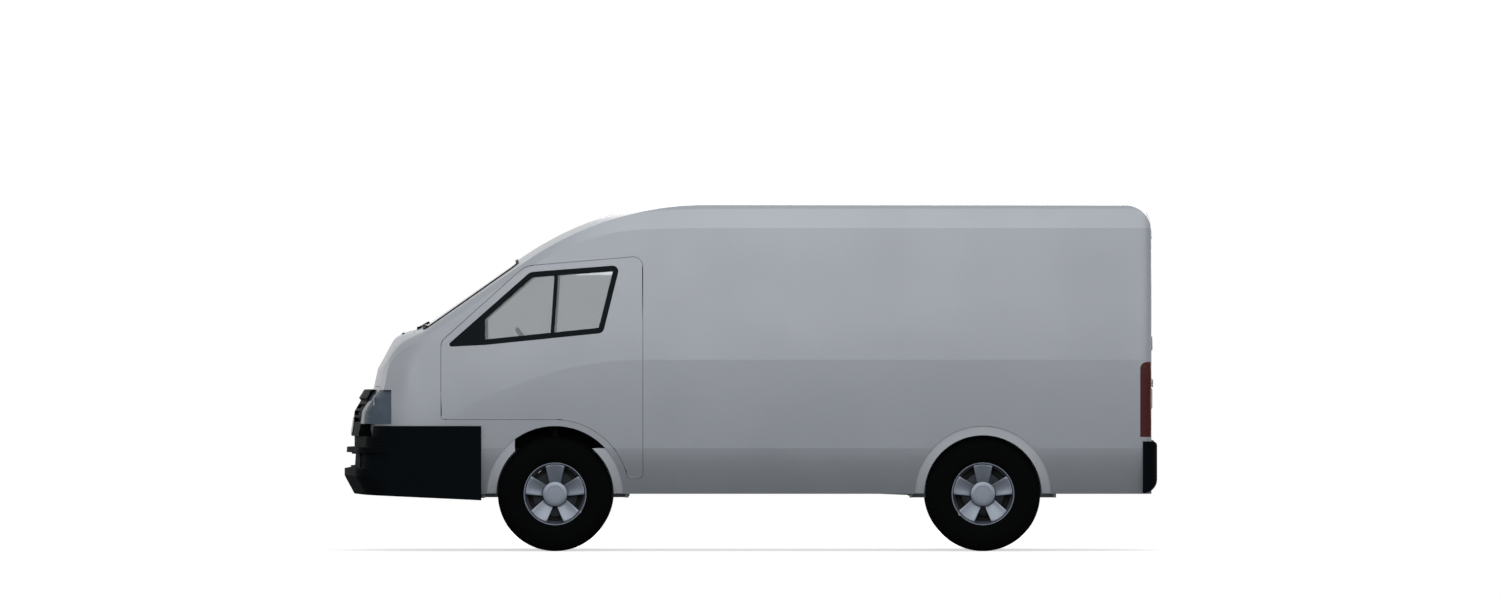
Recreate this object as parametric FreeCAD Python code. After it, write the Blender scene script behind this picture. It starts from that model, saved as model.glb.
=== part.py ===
import FreeCAD, Part
import math
import os

# Panel van with a mid engine under the seats. Millimetres, Z up, the nose
# points to -X, the ground is Z = 0 and the origin lies under the middle.

os.makedirs("parts", exist_ok=True)
V = FreeCAD.Vector
FUZZ = 0.01

# Main sizes
FRONT_AXLE_X = -1169.0
REAR_AXLE_X = 1400.0
AXLE_Z = 345.0
HALF_TRACK = 790.0
HALF_WIDTH = 940.0
SILL_Z = 345.0
REAR_X = 2422.0
PILLAR_X = -640.0
WALL = 45.0
DOOR_GAP = 6.0

# Flange behind each shut line, for the door to close on
FLANGE_IN = WALL + 6
FLANGE_THICK = 8.0
FLANGE_REACH = 22.0
FLANGE_ROOT = 26.0

# Body outline, seen from the side: x, z, corner radius
NOSE_MIDDLE = [
    (-2250, SILL_Z, 0),
    (-2322, 741, 150),
    (-2201, 1290, 260),
    (-1998, 1333, 140),
    (-890, 2103, 1890),
    (REAR_X, 2100, 150),
    (REAR_X, SILL_Z, 0),
]
NOSE_SIDE = [
    (-2130, SILL_Z, 0),
    (-2205, 741, 150),
    (-2100, 1268, 180),
    (-1950, 1306, 140),
    (-847, 2073, 1890),
    (REAR_X - 17, 2070, 150),
    (REAR_X - 17, SILL_Z, 0),
]
CROWN_HALF = 1000.0

# Flanks: height of belt and shoulder crease, and how the wall leans there
BELT_Z = 1150.0
BELT_DROP = 430.0
BELT_SOFTNESS = 110.0
LOWER_Z = 620.0
LOWER_LEAN = 3.0
UPPER_LEAN = 1.4
SILL_TUCK = 62.0
NOSE_TAPER = 0.07
NOSE_REACH = 1632.0
NOSE_FACE_X = -2240.0
NOSE_FACE_Z = 741.0
NOSE_FACE_CURVE = 4.2e-4
FRONT_CORNER_R = 190.0
REAR_CORNER_R = 70.0
SHOULDER_R = 60.0

# Shoulder along the body: x, height of the crease, height and lean of the band
SHOULDER = [
    (-2420, 840, 20, 30),
    (-2330, 870, 20, 30),
    (-2290, 900, 20, 30),
    (-2260, 945, 20, 30),
    (-2228, 1000, 20, 30),
    (-2194, 1060, 20, 30),
    (-2140, 1155, 20, 30),
    (-2068, 1221, 20, 30),
    (-1978, 1263, 20, 30),
    (-1906, 1311, 20, 30),
    (-1750, 1415, 22, 28),
    (-1500, 1589, 28, 24),
    (-1259, 1742, 45, 20),
    (-1019, 1855, 75, 16),
    (-820, 1912, 95, 14),
    (PILLAR_X, 1932, 105, 13),
    (-300, 1940, 113, 13),
    (200, 1941, 115, 13),
    (900, 1941, 115, 13),
    (1600, 1941, 115, 13),
    (2200, 1941, 115, 13),
    (2340, 1941, 115, 13),
    (2375, 1941, 115, 13),
    (2400, 1941, 115, 13),
    (2422, 1941, 115, 13),
    (2460, 1941, 115, 13),
]

# Wheels
TYRE_R = 345.0
TYRE_WIDTH = 195.0
RIM_R = 189.0
RIM_WIDTH = 176.0
RIM_WALL = 12.0
HUB_R = 75.0
SPOKES = 5
SPOKE_HUB_WIDTH = 86.0
SPOKE_RIM_WIDTH = 114.0
DISC_OUT = 66.0
DISC_THICK = 26.0
BORE_R = 30.0
STUB_R = BORE_R - 0.3
ARCH_R = 408.0
HOUSE_R = 422.0
HOUSE_WALL = 18.0
HOUSE_LOW_Z = 322.0
FRONT_HOUSE_Y = 475.0
REAR_HOUSE_Y = 650.0

# Steering knuckle
KINGPIN_Y = 730.0
PIN_GAP = 0.3
ARM_LOW_TOP = AXLE_Z - 117
ARM_TOP_LOW = AXLE_Z + 120

# Cab and load floor
CAB_FLOOR_Z = 800.0
LOAD_FLOOR_Z = 560.0
FLOOR_THICK = 30.0
BULKHEAD_X = -540.0
SEAT_FLOOR_Z = CAB_FLOOR_Z + FLOOR_THICK

# Front door shut line
DOOR_FRONT_X = -1855.0
DOOR_FOOT_Z = 440.0
DOOR_ARCH_R = 445.0
DOOR_OUTLINE_TOP = [
    (DOOR_FRONT_X, 1261, 60),
    (-1348, 1715, 130),
    (PILLAR_X, 1775, 60),
]

# Side window of the front door, outer edge of its black frame
WINDOW = [
    (-1828, 1227, 14),
    (-1318, 1677, 60),
    (-778, 1719, 35),
    (-880, 1311, 40),
    (-1588, 1239, 20),
]
WINDOW_FRAME = 33.0
SAIL_X = -1588.0
DIVIDER_TOP_X = -1156.0
DIVIDER_LOW_X = -1192.0
DIVIDER_WIDTH = 22.0
GLASS = 5.0
GLASS_IN = 6.0
SEAL_WIDTH = 16.0
LENS = 5.0

# Windscreen, measured up the slope from the cowl
SCREEN_FOOT = (-1998.0, 1333.0)
SCREEN_ANGLE = 34.8
SCREEN = [
    (-770, 30, 70),
    (770, 30, 70),
    (700, 730, 90),
    (-700, 730, 90),
]

# Tailgate
GATE_X = 2330.0
GATE_LOW_Z = 672.0
GATE_TOP_Z = 2035.0
GATE_HALF = 775.0
GATE_HINGE_X = 2403.0
GATE_SWING_R = 90.0
GATE_WINDOW = [(-640, 1250, 60), (640, 1250, 60), (590, 1800, 80), (-590, 1800, 80)]

# Sliding door on the right
SLIDE_FRONT_X = -590.0
SLIDE_REAR_X = 480.0
SLIDE_LOW_Z = 400.0
SLIDE_TOP_Z = 1915.0
GROOVE = 5.0
GROOVE_DEPTH = 11.0


def solids_of(*shapes):
    """All solids of the given shapes as one compound."""
    found = []
    for shape in shapes:
        found.extend(shape.Solids)
    return Part.makeCompound(found)


def cut(shape, *tools):
    return solids_of(shape.cut(list(tools), FUZZ))


def meet(shape, tool):
    return solids_of(shape.common([tool], FUZZ))


def fuse(first, *others):
    joined = first.fuse(list(others), FUZZ)
    return solids_of(joined.removeSplitter())


def weld(first, *others):
    """Solids joined where they touch, with the seams between their faces kept."""
    return solids_of(first.fuse(list(others), FUZZ))


def mirrored(shape):
    return shape.mirror(V(0, 0, 0), V(0, 1, 0))


def both(shape):
    """The shape on one side and its mirror image on the other."""
    return solids_of(shape, mirrored(shape))


def box(x0, x1, y0, y1, z0, z1):
    return Part.makeBox(x1 - x0, y1 - y0, z1 - z0, V(x0, y0, z0))


def cylinder_y(x, z, radius, y0, y1):
    return Part.makeCylinder(radius, y1 - y0, V(x, y0, z), V(0, 1, 0))


def cylinder_z(x, y, radius, z0, z1):
    return Part.makeCylinder(radius, z1 - z0, V(x, y, z0), V(0, 0, 1))


def rod(start, end, radius):
    way = V(*end) - V(*start)
    return Part.makeCylinder(radius, way.Length, V(*start), way)


def outline(points, lift):
    """A closed wire through corners (a, b, radius); lift places (a, b) in space."""
    corners = []
    count = len(points)
    for i in range(count):
        a, b, radius = points[i]
        here = V(a, b, 0)
        if radius == 0:
            corners.append((here, None, here))
            continue
        back = V(points[i - 1][0], points[i - 1][1], 0) - here
        ahead = V(points[(i + 1) % count][0], points[(i + 1) % count][1], 0) - here
        back.normalize()
        ahead.normalize()
        half = back.getAngle(ahead) / 2
        reach = radius / math.tan(half)
        middle = (back + ahead).normalize()
        centre = here + middle * (radius / math.sin(half))
        corners.append((here + back * reach, centre - middle * radius, here + ahead * reach))
    edges = []
    for i in range(count):
        start, top, end = corners[i]
        following = corners[(i + 1) % count][0]
        if top is not None:
            edges.append(Part.Arc(lift(start), lift(top), lift(end)).toShape())
        edges.append(Part.LineSegment(lift(end), lift(following)).toShape())
    return Part.Wire(edges)


def side_prism(points, y0, y1):
    wire = outline(points, lambda p: V(p.x, y0, p.y))
    return Part.Face(wire).extrude(V(0, y1 - y0, 0))


def plan_prism(points, z0, z1):
    wire = outline(points, lambda p: V(p.x, p.y, z0))
    return Part.Face(wire).extrude(V(0, 0, z1 - z0))


def front_prism(points, x0, x1):
    wire = outline(points, lambda p: V(x0, p.x, p.y))
    return Part.Face(wire).extrude(V(x1 - x0, 0, 0))


def inset_corners(points, inset, kept=None):
    """Move every side of a corner polygon inwards; the side that starts at kept stays."""
    count = len(points)
    area = 0
    for i in range(count):
        a0, b0, _ = points[i]
        a1, b1, _ = points[(i + 1) % count]
        area += a0 * b1 - a1 * b0
    turn = 1 if area > 0 else -1
    lines = []
    for i in range(count):
        start = V(points[i][0], points[i][1], 0)
        end = V(points[(i + 1) % count][0], points[(i + 1) % count][1], 0)
        way = (end - start).normalize()
        inward = V(-way.y, way.x, 0) * turn
        shift = 0 if i == kept else inset
        lines.append((start + inward * shift, way))
    moved = []
    for i in range(count):
        base0, way0 = lines[i - 1]
        base1, way1 = lines[i]
        cross = way0.x * way1.y - way0.y * way1.x
        gap = base1 - base0
        step = (gap.x * way1.y - gap.y * way1.x) / cross
        corner = base0 + way0 * step
        radius = points[i][2]
        if radius > 0:
            bulges = cross * turn > 0
            radius = max(3.0, radius - inset) if bulges else radius + inset
        moved.append((corner.x, corner.y, radius))
    return moved


def lowered(points, inset):
    """Side outline of the body, moved inwards and, if it is an inner one, open below."""
    moved = inset_corners(points, inset, len(points) - 1)
    if inset == 0:
        return moved
    foot = SILL_Z - 85
    first = moved[0]
    last = moved[-1]
    return [(first[0], foot, 0)] + moved[1:-1] + [(last[0], foot, 0)]


def crown_corners(y):
    """Side outline of the body at one y, between the middle and the outer one."""
    share = (y / CROWN_HALF) ** 2
    corners = []
    for middle, side in zip(NOSE_MIDDLE, NOSE_SIDE):
        a = middle[0] + (side[0] - middle[0]) * share
        b = middle[1] + (side[1] - middle[1]) * share
        corners.append((a, b, middle[2] + (side[2] - middle[2]) * share))
    return corners


def crown_form(inset):
    sections = []
    for i in range(-4, 5):
        y = CROWN_HALF * i / 4
        corners = lowered(crown_corners(y), inset)
        sections.append(outline(corners, lambda p, y=y: V(p.x, y, p.y)))
    return Part.makeLoft(sections, True, False)


def corner_loss(reach, radius, inset):
    """How far a round plan corner falls back from the flat wall at this reach."""
    inner = radius - inset
    limit = 0.9 * inner
    near = min(max(reach, 0.0), limit)
    depth = radius - math.sqrt(inner ** 2 - near ** 2)
    if reach > limit:
        depth += (reach - limit) * limit / math.sqrt(inner ** 2 - limit ** 2)
    return depth


def softened(rise):
    """The rise where it is well above zero, fading to nothing round zero."""
    return (rise + math.sqrt(rise ** 2 + BELT_SOFTNESS ** 2)) / 2


def wall_y(x, z, belt_z, crease_z, lean):
    """Half width of the wall before its corners and its inset."""
    ahead = max(0.0, PILLAR_X - x)
    taper = 1 - NOSE_TAPER * (ahead / NOSE_REACH) ** 2
    y = HALF_WIDTH - softened(belt_z - z) * math.tan(math.radians(LOWER_LEAN))
    y -= softened(z - belt_z) * math.tan(math.radians(UPPER_LEAN))
    if z < LOWER_Z:
        y -= SILL_TUCK * ((LOWER_Z - z) / (LOWER_Z - SILL_Z)) ** 1.7
    if z > crease_z:
        slope = math.tan(math.radians(lean)) - math.tan(math.radians(UPPER_LEAN))
        y -= (z - crease_z) * slope
    return y * taper


def flank_y(x, z, belt_z, crease_z, lean, inset):
    y = wall_y(x, z, belt_z, crease_z, lean)
    face_x = NOSE_FACE_X + NOSE_FACE_CURVE * (z - NOSE_FACE_Z) ** 2
    front = corner_loss(face_x + 0.85 * FRONT_CORNER_R - x, FRONT_CORNER_R, inset)
    rear = corner_loss(x - (REAR_X - 0.85 * REAR_CORNER_R), REAR_CORNER_R, inset)
    return y - max(front, rear)


def spaced(low, high, count):
    return [low + (high - low) * i / (count - 1) for i in range(count)]


def smooth_edge(points):
    curve = Part.BSplineCurve()
    steps = [i / (len(points) - 1.0) for i in range(len(points))]
    curve.interpolate(Points=points, Parameters=steps)
    return curve.toShape()


def flank_section(row, inset):
    """Closed cross section at one x; the same edges at every station."""
    x, crease_z, band, lean = row
    ahead = max(0.0, PILLAR_X - x)
    belt_z = BELT_Z - BELT_DROP * min(1.0, ahead / 1300.0) ** 2
    band_z = crease_z + band
    levels = [
        spaced(SILL_Z - 105, LOWER_Z, 5),
        spaced(LOWER_Z, belt_z, 4),
        spaced(belt_z, crease_z, 5),
        spaced(crease_z, band_z, 3),
    ]
    runs = []
    for level in levels:
        runs.append([V(x, flank_y(x, z, belt_z, crease_z, lean, inset), z) for z in level])
    corner = runs[-1][-1]
    start = math.radians(lean)
    radius = max(8.0, SHOULDER_R - inset)
    arc = []
    for turn in spaced(start, math.radians(82), 5):
        dy = radius * (math.cos(start) - math.cos(turn))
        dz = radius * (math.sin(turn) - math.sin(start))
        arc.append(V(x, corner.y - dy, corner.z + dz))
    runs.append(arc)
    across = min(500.0, max(20.0, arc[-1].y - 40))
    end = arc[-1] + V(0, -across, across * math.tan(math.radians(8)))
    right = [smooth_edge(run) for run in runs]
    right.append(Part.LineSegment(arc[-1], end).toShape())
    left = [mirrored(edge) for edge in reversed(right)]
    lid = Part.LineSegment(end, V(x, -end.y, end.z)).toShape()
    foot = runs[0][0]
    base = Part.LineSegment(V(x, -foot.y, foot.z), foot).toShape()
    return Part.Wire(right + [lid] + left + [base])


def flank_form(inset):
    return Part.makeLoft([flank_section(row, inset) for row in SHOULDER], True, False)


FORMS = {}
SKINS = {}


def body_form(inset):
    """The whole body as one closed solid, its skin moved inwards by inset."""
    if inset not in FORMS:
        FORMS[inset] = meet(crown_form(inset), flank_form(inset))
    return FORMS[inset]


def skin(outer, inner):
    """A layer of the body wall between two depths under its outer skin."""
    if (outer, inner) not in SKINS:
        SKINS[outer, inner] = cut(body_form(outer), body_form(inner))
    return SKINS[outer, inner]


def door_outline(gap=0.0):
    """Shut line of the front door, corners from the foot round to the arch."""
    top = [
        (DOOR_FRONT_X, AXLE_Z + DOOR_ARCH_R, 25),
        DOOR_OUTLINE_TOP[0],
        DOOR_OUTLINE_TOP[1],
        DOOR_OUTLINE_TOP[2],
        (PILLAR_X, DOOR_FOOT_Z, 25),
        (FRONT_AXLE_X, DOOR_FOOT_Z, 0),
        (FRONT_AXLE_X, AXLE_Z + DOOR_ARCH_R, 0),
    ]
    return inset_corners(top, gap)


def door_prism(gap, y0, y1):
    region = side_prism(door_outline(gap), y0, y1)
    arch = cylinder_y(FRONT_AXLE_X, AXLE_Z, DOOR_ARCH_R + gap, y0 - 10, y1 + 10)
    return cut(region, arch)


def window_prism(inset, y0, y1):
    return side_prism(inset_corners(WINDOW, inset), y0, y1)


def screen_prism(inset):
    tilt = math.radians(SCREEN_ANGLE)
    along = V(math.cos(tilt), 0, math.sin(tilt))
    normal = V(-math.sin(tilt), 0, math.cos(tilt))
    foot = V(SCREEN_FOOT[0], 0, SCREEN_FOOT[1])
    corners = inset_corners(SCREEN, inset)
    wire = outline(corners, lambda p: foot + V(0, p.x, 0) + along * p.y - normal * 200)
    return Part.Face(wire).extrude(normal * 400)


def arches(radius):
    """Round cut-outs of the four wheel arches through the body sides."""
    tools = []
    for x in (FRONT_AXLE_X, REAR_AXLE_X):
        tools.append(cylinder_y(x, AXLE_Z, radius, -1100, -700))
        tools.append(cylinder_y(x, AXLE_Z, radius, 700, 1100))
    return tools


def gate_prism(gap):
    corners = [
        (-GATE_HALF + 10, GATE_LOW_Z, 60),
        (GATE_HALF - 10, GATE_LOW_Z, 60),
        (GATE_HALF, 1500, 900),
        (GATE_HALF - 45, GATE_TOP_Z, 110),
        (-GATE_HALF + 45, GATE_TOP_Z, 110),
        (-GATE_HALF, 1500, 900),
    ]
    return front_prism(inset_corners(corners, gap), GATE_X, REAR_X + 60)


def bonnet_prism(gap):
    corners = [(-2600, -640, 60), (-2015, -700, 60), (-2015, 700, 60), (-2600, 640, 60)]
    return plan_prism(inset_corners(corners, gap), 985 + gap, 1500)


MASK_LOW = 690.0
MASK_TOP = 969.0
LAMP_LOW = 765.0
LAMP_IN_Y = 575.0
LAMP_REAR_X = -2152.0
MASK_HALF = 868.0
MASK_REAR_X = -1900.0
BUMPER_HALF = 926.0
NOSE_BOW = 118.0
NOSE_CORNER_R = 190.0
NOSE_CENTRE_R = 2600.0
SLOT_DEPTH = 24.0
SLOT_LOW = 776.0
SLOT_HEIGHT = 26.0
SLOT_PITCH = 40.0
SLOT_IN_Y = 60.0
SLOT_OUT_Y = 545.0


def nose_plan(front_x, half, rear_x):
    """Plan of the nose at one height: bowed front and round corners."""
    bow = math.atan2(NOSE_BOW, half)
    tip = front_x - NOSE_CENTRE_R * (1 / math.cos(bow) - 1)
    return [
        (rear_x, -half, 0),
        (tip + NOSE_BOW, -half, NOSE_CORNER_R),
        (tip, 0, NOSE_CENTRE_R),
        (tip + NOSE_BOW, half, NOSE_CORNER_R),
        (rear_x, half, 0),
    ]


def nose_loft(levels, half, rear_x):
    """Nose form through (front x, z) levels from the bottom up."""
    wires = []
    for front_x, z in levels:
        corners = nose_plan(front_x, half, rear_x)
        wires.append(outline(corners, lambda p, z=z: V(p.x, p.y, z)))
    return Part.makeLoft(wires, True, True)


def mask_form(inset=0.0):
    """Face of the nose between bumper and bonnet, moved back by inset."""
    rows = [(-2405, MASK_LOW), (-2395, 764), (-2385, 839), (-2335, 925), (-2300, MASK_TOP)]
    levels = [(x + inset, z) for x, z in rows]
    levels[0] = (levels[0][0], MASK_LOW - inset)
    levels[-1] = (levels[-1][0], MASK_TOP - inset)
    return nose_loft(levels, MASK_HALF - inset, MASK_REAR_X)


def grille_slots():
    """Three rows of slots between the slats, open to the front."""
    face = cut(mask_form(), mask_form(SLOT_DEPTH))
    rows = []
    for i in range(3):
        low = SLOT_LOW + i * SLOT_PITCH
        for y0, y1 in ((-SLOT_OUT_Y, -SLOT_IN_Y), (SLOT_IN_Y, SLOT_OUT_Y)):
            rows.append(box(-2600, -2000, y0, y1, low, low + SLOT_HEIGHT))
    return meet(face, solids_of(*rows))


def make_grille():
    """Mask between the lamps with slots and a bar along its top."""
    bar = nose_loft([(-2346, 902), (-2359, 918), (-2327, MASK_TOP)], MASK_HALF, MASK_REAR_X)
    form = cut(fuse(mask_form(), bar), grille_slots())
    grille = meet(form, box(-2600, -2000, -LAMP_IN_Y, LAMP_IN_Y, MASK_LOW, MASK_TOP))
    return cut(grille, body_form(0))


def make_headlamps():
    """Clear lens shells at the corners of the nose, open behind."""
    region = box(-2600, LAMP_REAR_X, LAMP_IN_Y, 1000, LAMP_LOW, MASK_TOP)
    inner = mask_form(LENS)
    lamp = cut(meet(mask_form(), region), inner)
    return both(lamp)


def bumper_form(half):
    levels = [
        (-2368, 306),
        (-2436, 432),
        (-2446, 453),
        (-2446, 495),
        (-2408, 503),
        (-2402, 590),
        (-2434, 592),
        (-2431, 624),
        (-2386, 626),
        (-2386, MASK_LOW),
    ]
    return nose_loft(levels, half, -1612)


def make_front_bumper():
    form = bumper_form(BUMPER_HALF)
    upper = nose_loft([(-2350, MASK_LOW), (-2340, 753)], BUMPER_HALF, -1612)
    middle = box(-2600, -2000, -LAMP_IN_Y, LAMP_IN_Y, MASK_LOW - 5, 800)
    form = fuse(form, cut(upper, middle))
    corners = [(-2446, 345, 0), (-1600, 306, 0), (-1600, 200, 0), (-2446, 200, 0)]
    below = side_prism(corners, -1000, 1000)
    inner = box(-2290, -1500, -780, 780, 200, 900)
    deep = nose_loft([(-2372, 440), (-2366, 660)], BUMPER_HALF - 60, -1612)
    intake = cut(box(-2600, -2200, -400, 400, 512, 582), deep)
    return cut(form, body_form(0), below, inner, intake)


def make_rear_bumper():
    corners = [(2359, 350, 0), (2446, 350, 84), (2446, 660, 25), (2359, 660, 0)]
    prism = side_prism(corners, -1000, 1000)
    half = BUMPER_HALF
    plan_corners = [(2300, -half, 0), (2446, -half, 90), (2446, half, 90), (2300, half, 0)]
    plan = plan_prism(plan_corners, 300, 700)
    return cut(meet(prism, plan), body_form(0))


def tail_lamp_region():
    corners = [(2343, 687, 0), (2343, 1137, 40), (2500, 1137, 0), (2500, 687, 0)]
    prism = side_prism(corners, -1000, -GATE_HALF - 18)
    return meet(prism, SHELL)


def make_shell():
    return skin(0, WALL)


SHELL = make_shell()


def flange(prism, *swept):
    """Ring behind a shut line: its root on the wall, its lip behind the door."""
    low = FLANGE_IN + FLANGE_THICK
    root = meet(skin(WALL, low), cut(prism(-FLANGE_ROOT), prism(0)))
    lip = meet(skin(FLANGE_IN, low), cut(prism(0), prism(FLANGE_REACH)))
    if swept:
        lip = cut(lip, *swept)
    return weld(root, lip)


def left_door_prism(gap):
    return door_prism(gap, -1100, -700)


def cab_flanges():
    """Flanges of both front doors and of the bonnet, built once."""
    if "cab" not in FORMS:
        door = cut(flange(left_door_prism), *house_solids())
        nose = cut(flange(bonnet_prism), lamp_pocket(), mirrored(lamp_pocket()))
        FORMS["cab"] = solids_of(door, mirrored(door), nose)
    return FORMS["cab"]


def make_door_panel():
    """Left front door: full wall thickness, window cut out."""
    region = door_prism(DOOR_GAP, -1100, -780)
    panel = meet(SHELL, region)
    return cut(panel, window_prism(0, -1100, -700))


def make_door_frame():
    """Black frame in the door window with its front sail and its divider."""
    layer = meet(SHELL, window_prism(0, -1100, -700))
    opening = window_prism(WINDOW_FRAME, -1100, -700)
    sail = box(-1900, SAIL_X, -1100, -700, 1200, 1600)
    hole = cut(opening, sail, divider_prism())
    return cut(layer, hole)


def divider_prism():
    half = DIVIDER_WIDTH / 2
    corners = [
        (DIVIDER_LOW_X - half, 1281 - 80, 0),
        (DIVIDER_LOW_X + half, 1281 - 80, 0),
        (DIVIDER_TOP_X + half, 1677 + 60, 0),
        (DIVIDER_TOP_X - half, 1677 + 60, 0),
    ]
    return side_prism(corners, -1100, -700)


def make_door_glass():
    layer = meet(skin(GLASS_IN, GLASS_IN + GLASS), window_prism(WINDOW_FRAME, -1100, -700))
    sail = box(-1900, SAIL_X, -1100, -700, 1200, 1600)
    return cut(layer, sail, divider_prism())


def make_windscreen():
    return meet(skin(GLASS_IN, GLASS_IN + GLASS), screen_prism(0))


def make_screen_seal():
    return meet(skin(0, GLASS_IN), cut(screen_prism(0), screen_prism(SEAL_WIDTH)))


def roof_region():
    return box(-1180, GATE_X, -800, 800, 1600, 2300)


def make_roof_panel():
    return meet(SHELL, roof_region())


def cab_tools():
    doors = door_prism(0, -1100, -780)
    return [doors, mirrored(doors)]


def lamp_pocket():
    pocket = box(-2600, LAMP_REAR_X, LAMP_IN_Y, 1000, LAMP_LOW, MASK_TOP)
    return pocket


def make_front_frame():
    """Nose, wings, screen pillars and header in front of the centre pillars."""
    region = box(-2600, PILLAR_X, -1100, 1100, 200, 2300)
    frame = meet(SHELL, region)
    tools = cab_tools() + arches(ARCH_R)
    tools.append(screen_prism(0))
    tools.append(bonnet_prism(0))
    tools.append(roof_region())
    tools.append(lamp_pocket())
    tools.append(mirrored(lamp_pocket()))
    return weld(cut(frame, *tools), *cab_flanges().Solids)


def make_bonnet():
    return meet(SHELL, bonnet_prism(DOOR_GAP))


def slide_prism(gap, y0, y1):
    corners = [
        (SLIDE_FRONT_X, SLIDE_LOW_Z, 40),
        (SLIDE_REAR_X, SLIDE_LOW_Z, 40),
        (SLIDE_REAR_X, SLIDE_TOP_Z, 60),
        (SLIDE_FRONT_X, SLIDE_TOP_Z, 60),
    ]
    return side_prism(inset_corners(corners, gap), y0, y1)


def side_region(y0, y1):
    return box(PILLAR_X, GATE_X, y0, y1, 200, 2300)


def make_side_panel_left():
    panel = meet(SHELL, side_region(-1100, 0))
    return cut(panel, roof_region(), *arches(ARCH_R))


def make_side_panel_right():
    panel = meet(SHELL, side_region(0, 1100))
    panel = cut(panel, roof_region(), slide_prism(0, 700, 1100), *arches(ARCH_R))
    rim = cut(slide_prism(-GROOVE / 2, 700, 1100), slide_prism(GROOVE / 2, 700, 1100))
    groove = meet(skin(0, GROOVE_DEPTH), rim)
    return cut(panel, groove)


def make_sliding_door():
    door = meet(SHELL, slide_prism(0, 700, 1100))
    rim = cut(slide_prism(-GROOVE / 2, 700, 1100), slide_prism(GROOVE / 2, 700, 1100))
    return cut(door, meet(skin(0, GROOVE_DEPTH), rim))


def make_rear_frame():
    frame = meet(SHELL, box(GATE_X, REAR_X + 60, -1100, 1100, 200, 2300))
    lamp = tail_lamp_region()
    frame = cut(frame, gate_prism(0), lamp, mirrored(lamp))
    swing = cylinder_y(GATE_HINGE_X, GATE_TOP_Z, GATE_SWING_R, -GATE_HALF, GATE_HALF)
    return weld(frame, flange(gate_prism, swing))


def make_tail_lamps():
    return both(tail_lamp_region())


def gate_window_prism(inset):
    return front_prism(inset_corners(GATE_WINDOW, inset), GATE_X - 50, REAR_X + 60)


def make_tailgate():
    gate = meet(SHELL, gate_prism(DOOR_GAP))
    return cut(gate, gate_window_prism(0))


def make_tailgate_glass():
    return meet(skin(GLASS_IN, GLASS_IN + GLASS), gate_window_prism(0))


def make_tailgate_seal():
    ring = cut(gate_window_prism(0), gate_window_prism(SEAL_WIDTH))
    return meet(skin(0, GLASS_IN), ring)


def house(x, inner_y, reach_z):
    """One wheelhouse: arched shell with a flat inner wall, on the left."""
    outer = cylinder_y(x, AXLE_Z, HOUSE_R + HOUSE_WALL, -1000, -inner_y + HOUSE_WALL)
    outer = fuse(outer, box(x - HOUSE_R - HOUSE_WALL, x + HOUSE_R + HOUSE_WALL, -1000,
                            -inner_y + HOUSE_WALL, reach_z, AXLE_Z))
    inner = cylinder_y(x, AXLE_Z, HOUSE_R, -1100, -inner_y)
    inner = fuse(inner, box(x - HOUSE_R, x + HOUSE_R, -1100, -inner_y, reach_z - 10, AXLE_Z))
    shell = cut(outer, inner, box(x - 500, x + 500, -1100, 0, 0, reach_z))
    return meet(shell, body_form(WALL))


def make_front_wheelhouses():
    shape = house(FRONT_AXLE_X, FRONT_HOUSE_Y, HOUSE_LOW_Z)
    hatch = box(FRONT_AXLE_X - 110, FRONT_AXLE_X + 110, -520, -400, 200, 560)
    return both(cut(shape, hatch))


def make_rear_wheelhouses():
    shape = house(REAR_AXLE_X, REAR_HOUSE_Y, HOUSE_LOW_Z)
    hatch = cylinder_y(REAR_AXLE_X, AXLE_Z, 75, -700, -500)
    return both(cut(shape, hatch))


def make_front_arch_liners():
    liner = box(-1409, -866, -568, -FRONT_HOUSE_Y, 618, 790)
    inside = cylinder_y(FRONT_AXLE_X, AXLE_Z, HOUSE_R, -1100, -400)
    return both(meet(liner, inside))


def house_solids():
    """Full wheelhouse volumes, so that the floor can be cut round them."""
    tools = []
    for x, inner_y in ((FRONT_AXLE_X, FRONT_HOUSE_Y), (REAR_AXLE_X, REAR_HOUSE_Y)):
        tool = cylinder_y(x, AXLE_Z, HOUSE_R + HOUSE_WALL, -1000, -inner_y + HOUSE_WALL)
        low = box(x - HOUSE_R - HOUSE_WALL, x + HOUSE_R + HOUSE_WALL, -1000, -inner_y + HOUSE_WALL,
                  200, AXLE_Z)
        tool = fuse(tool, low)
        tools.append(tool)
        tools.append(mirrored(tool))
    return tools


def make_floor_pan():
    """Raised cab floor, riser and load floor."""
    cab = box(-2300, BULKHEAD_X, -1000, 1000, CAB_FLOOR_Z, SEAT_FLOOR_Z)
    riser = box(BULKHEAD_X - 30, BULKHEAD_X, -1000, 1000, LOAD_FLOOR_Z, SEAT_FLOOR_Z)
    load = box(BULKHEAD_X - 30, 2500, -1000, 1000, LOAD_FLOOR_Z, LOAD_FLOOR_Z + FLOOR_THICK)
    floor = meet(fuse(cab, riser, load), body_form(WALL))
    return cut(floor, cab_flanges(), *house_solids())


def make_bulkhead():
    plate = box(BULKHEAD_X - 30, BULKHEAD_X - 8, -1000, 1000, SEAT_FLOOR_Z, 2300)
    return meet(plate, body_form(WALL))


RAIL_IN_Y = 350.0
RAIL_OUT_Y = 430.0
RAIL_LOW_Z = 400.0
CRADLE_Z = 352.0
ENGINE_REAR_X = -620.0


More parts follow.
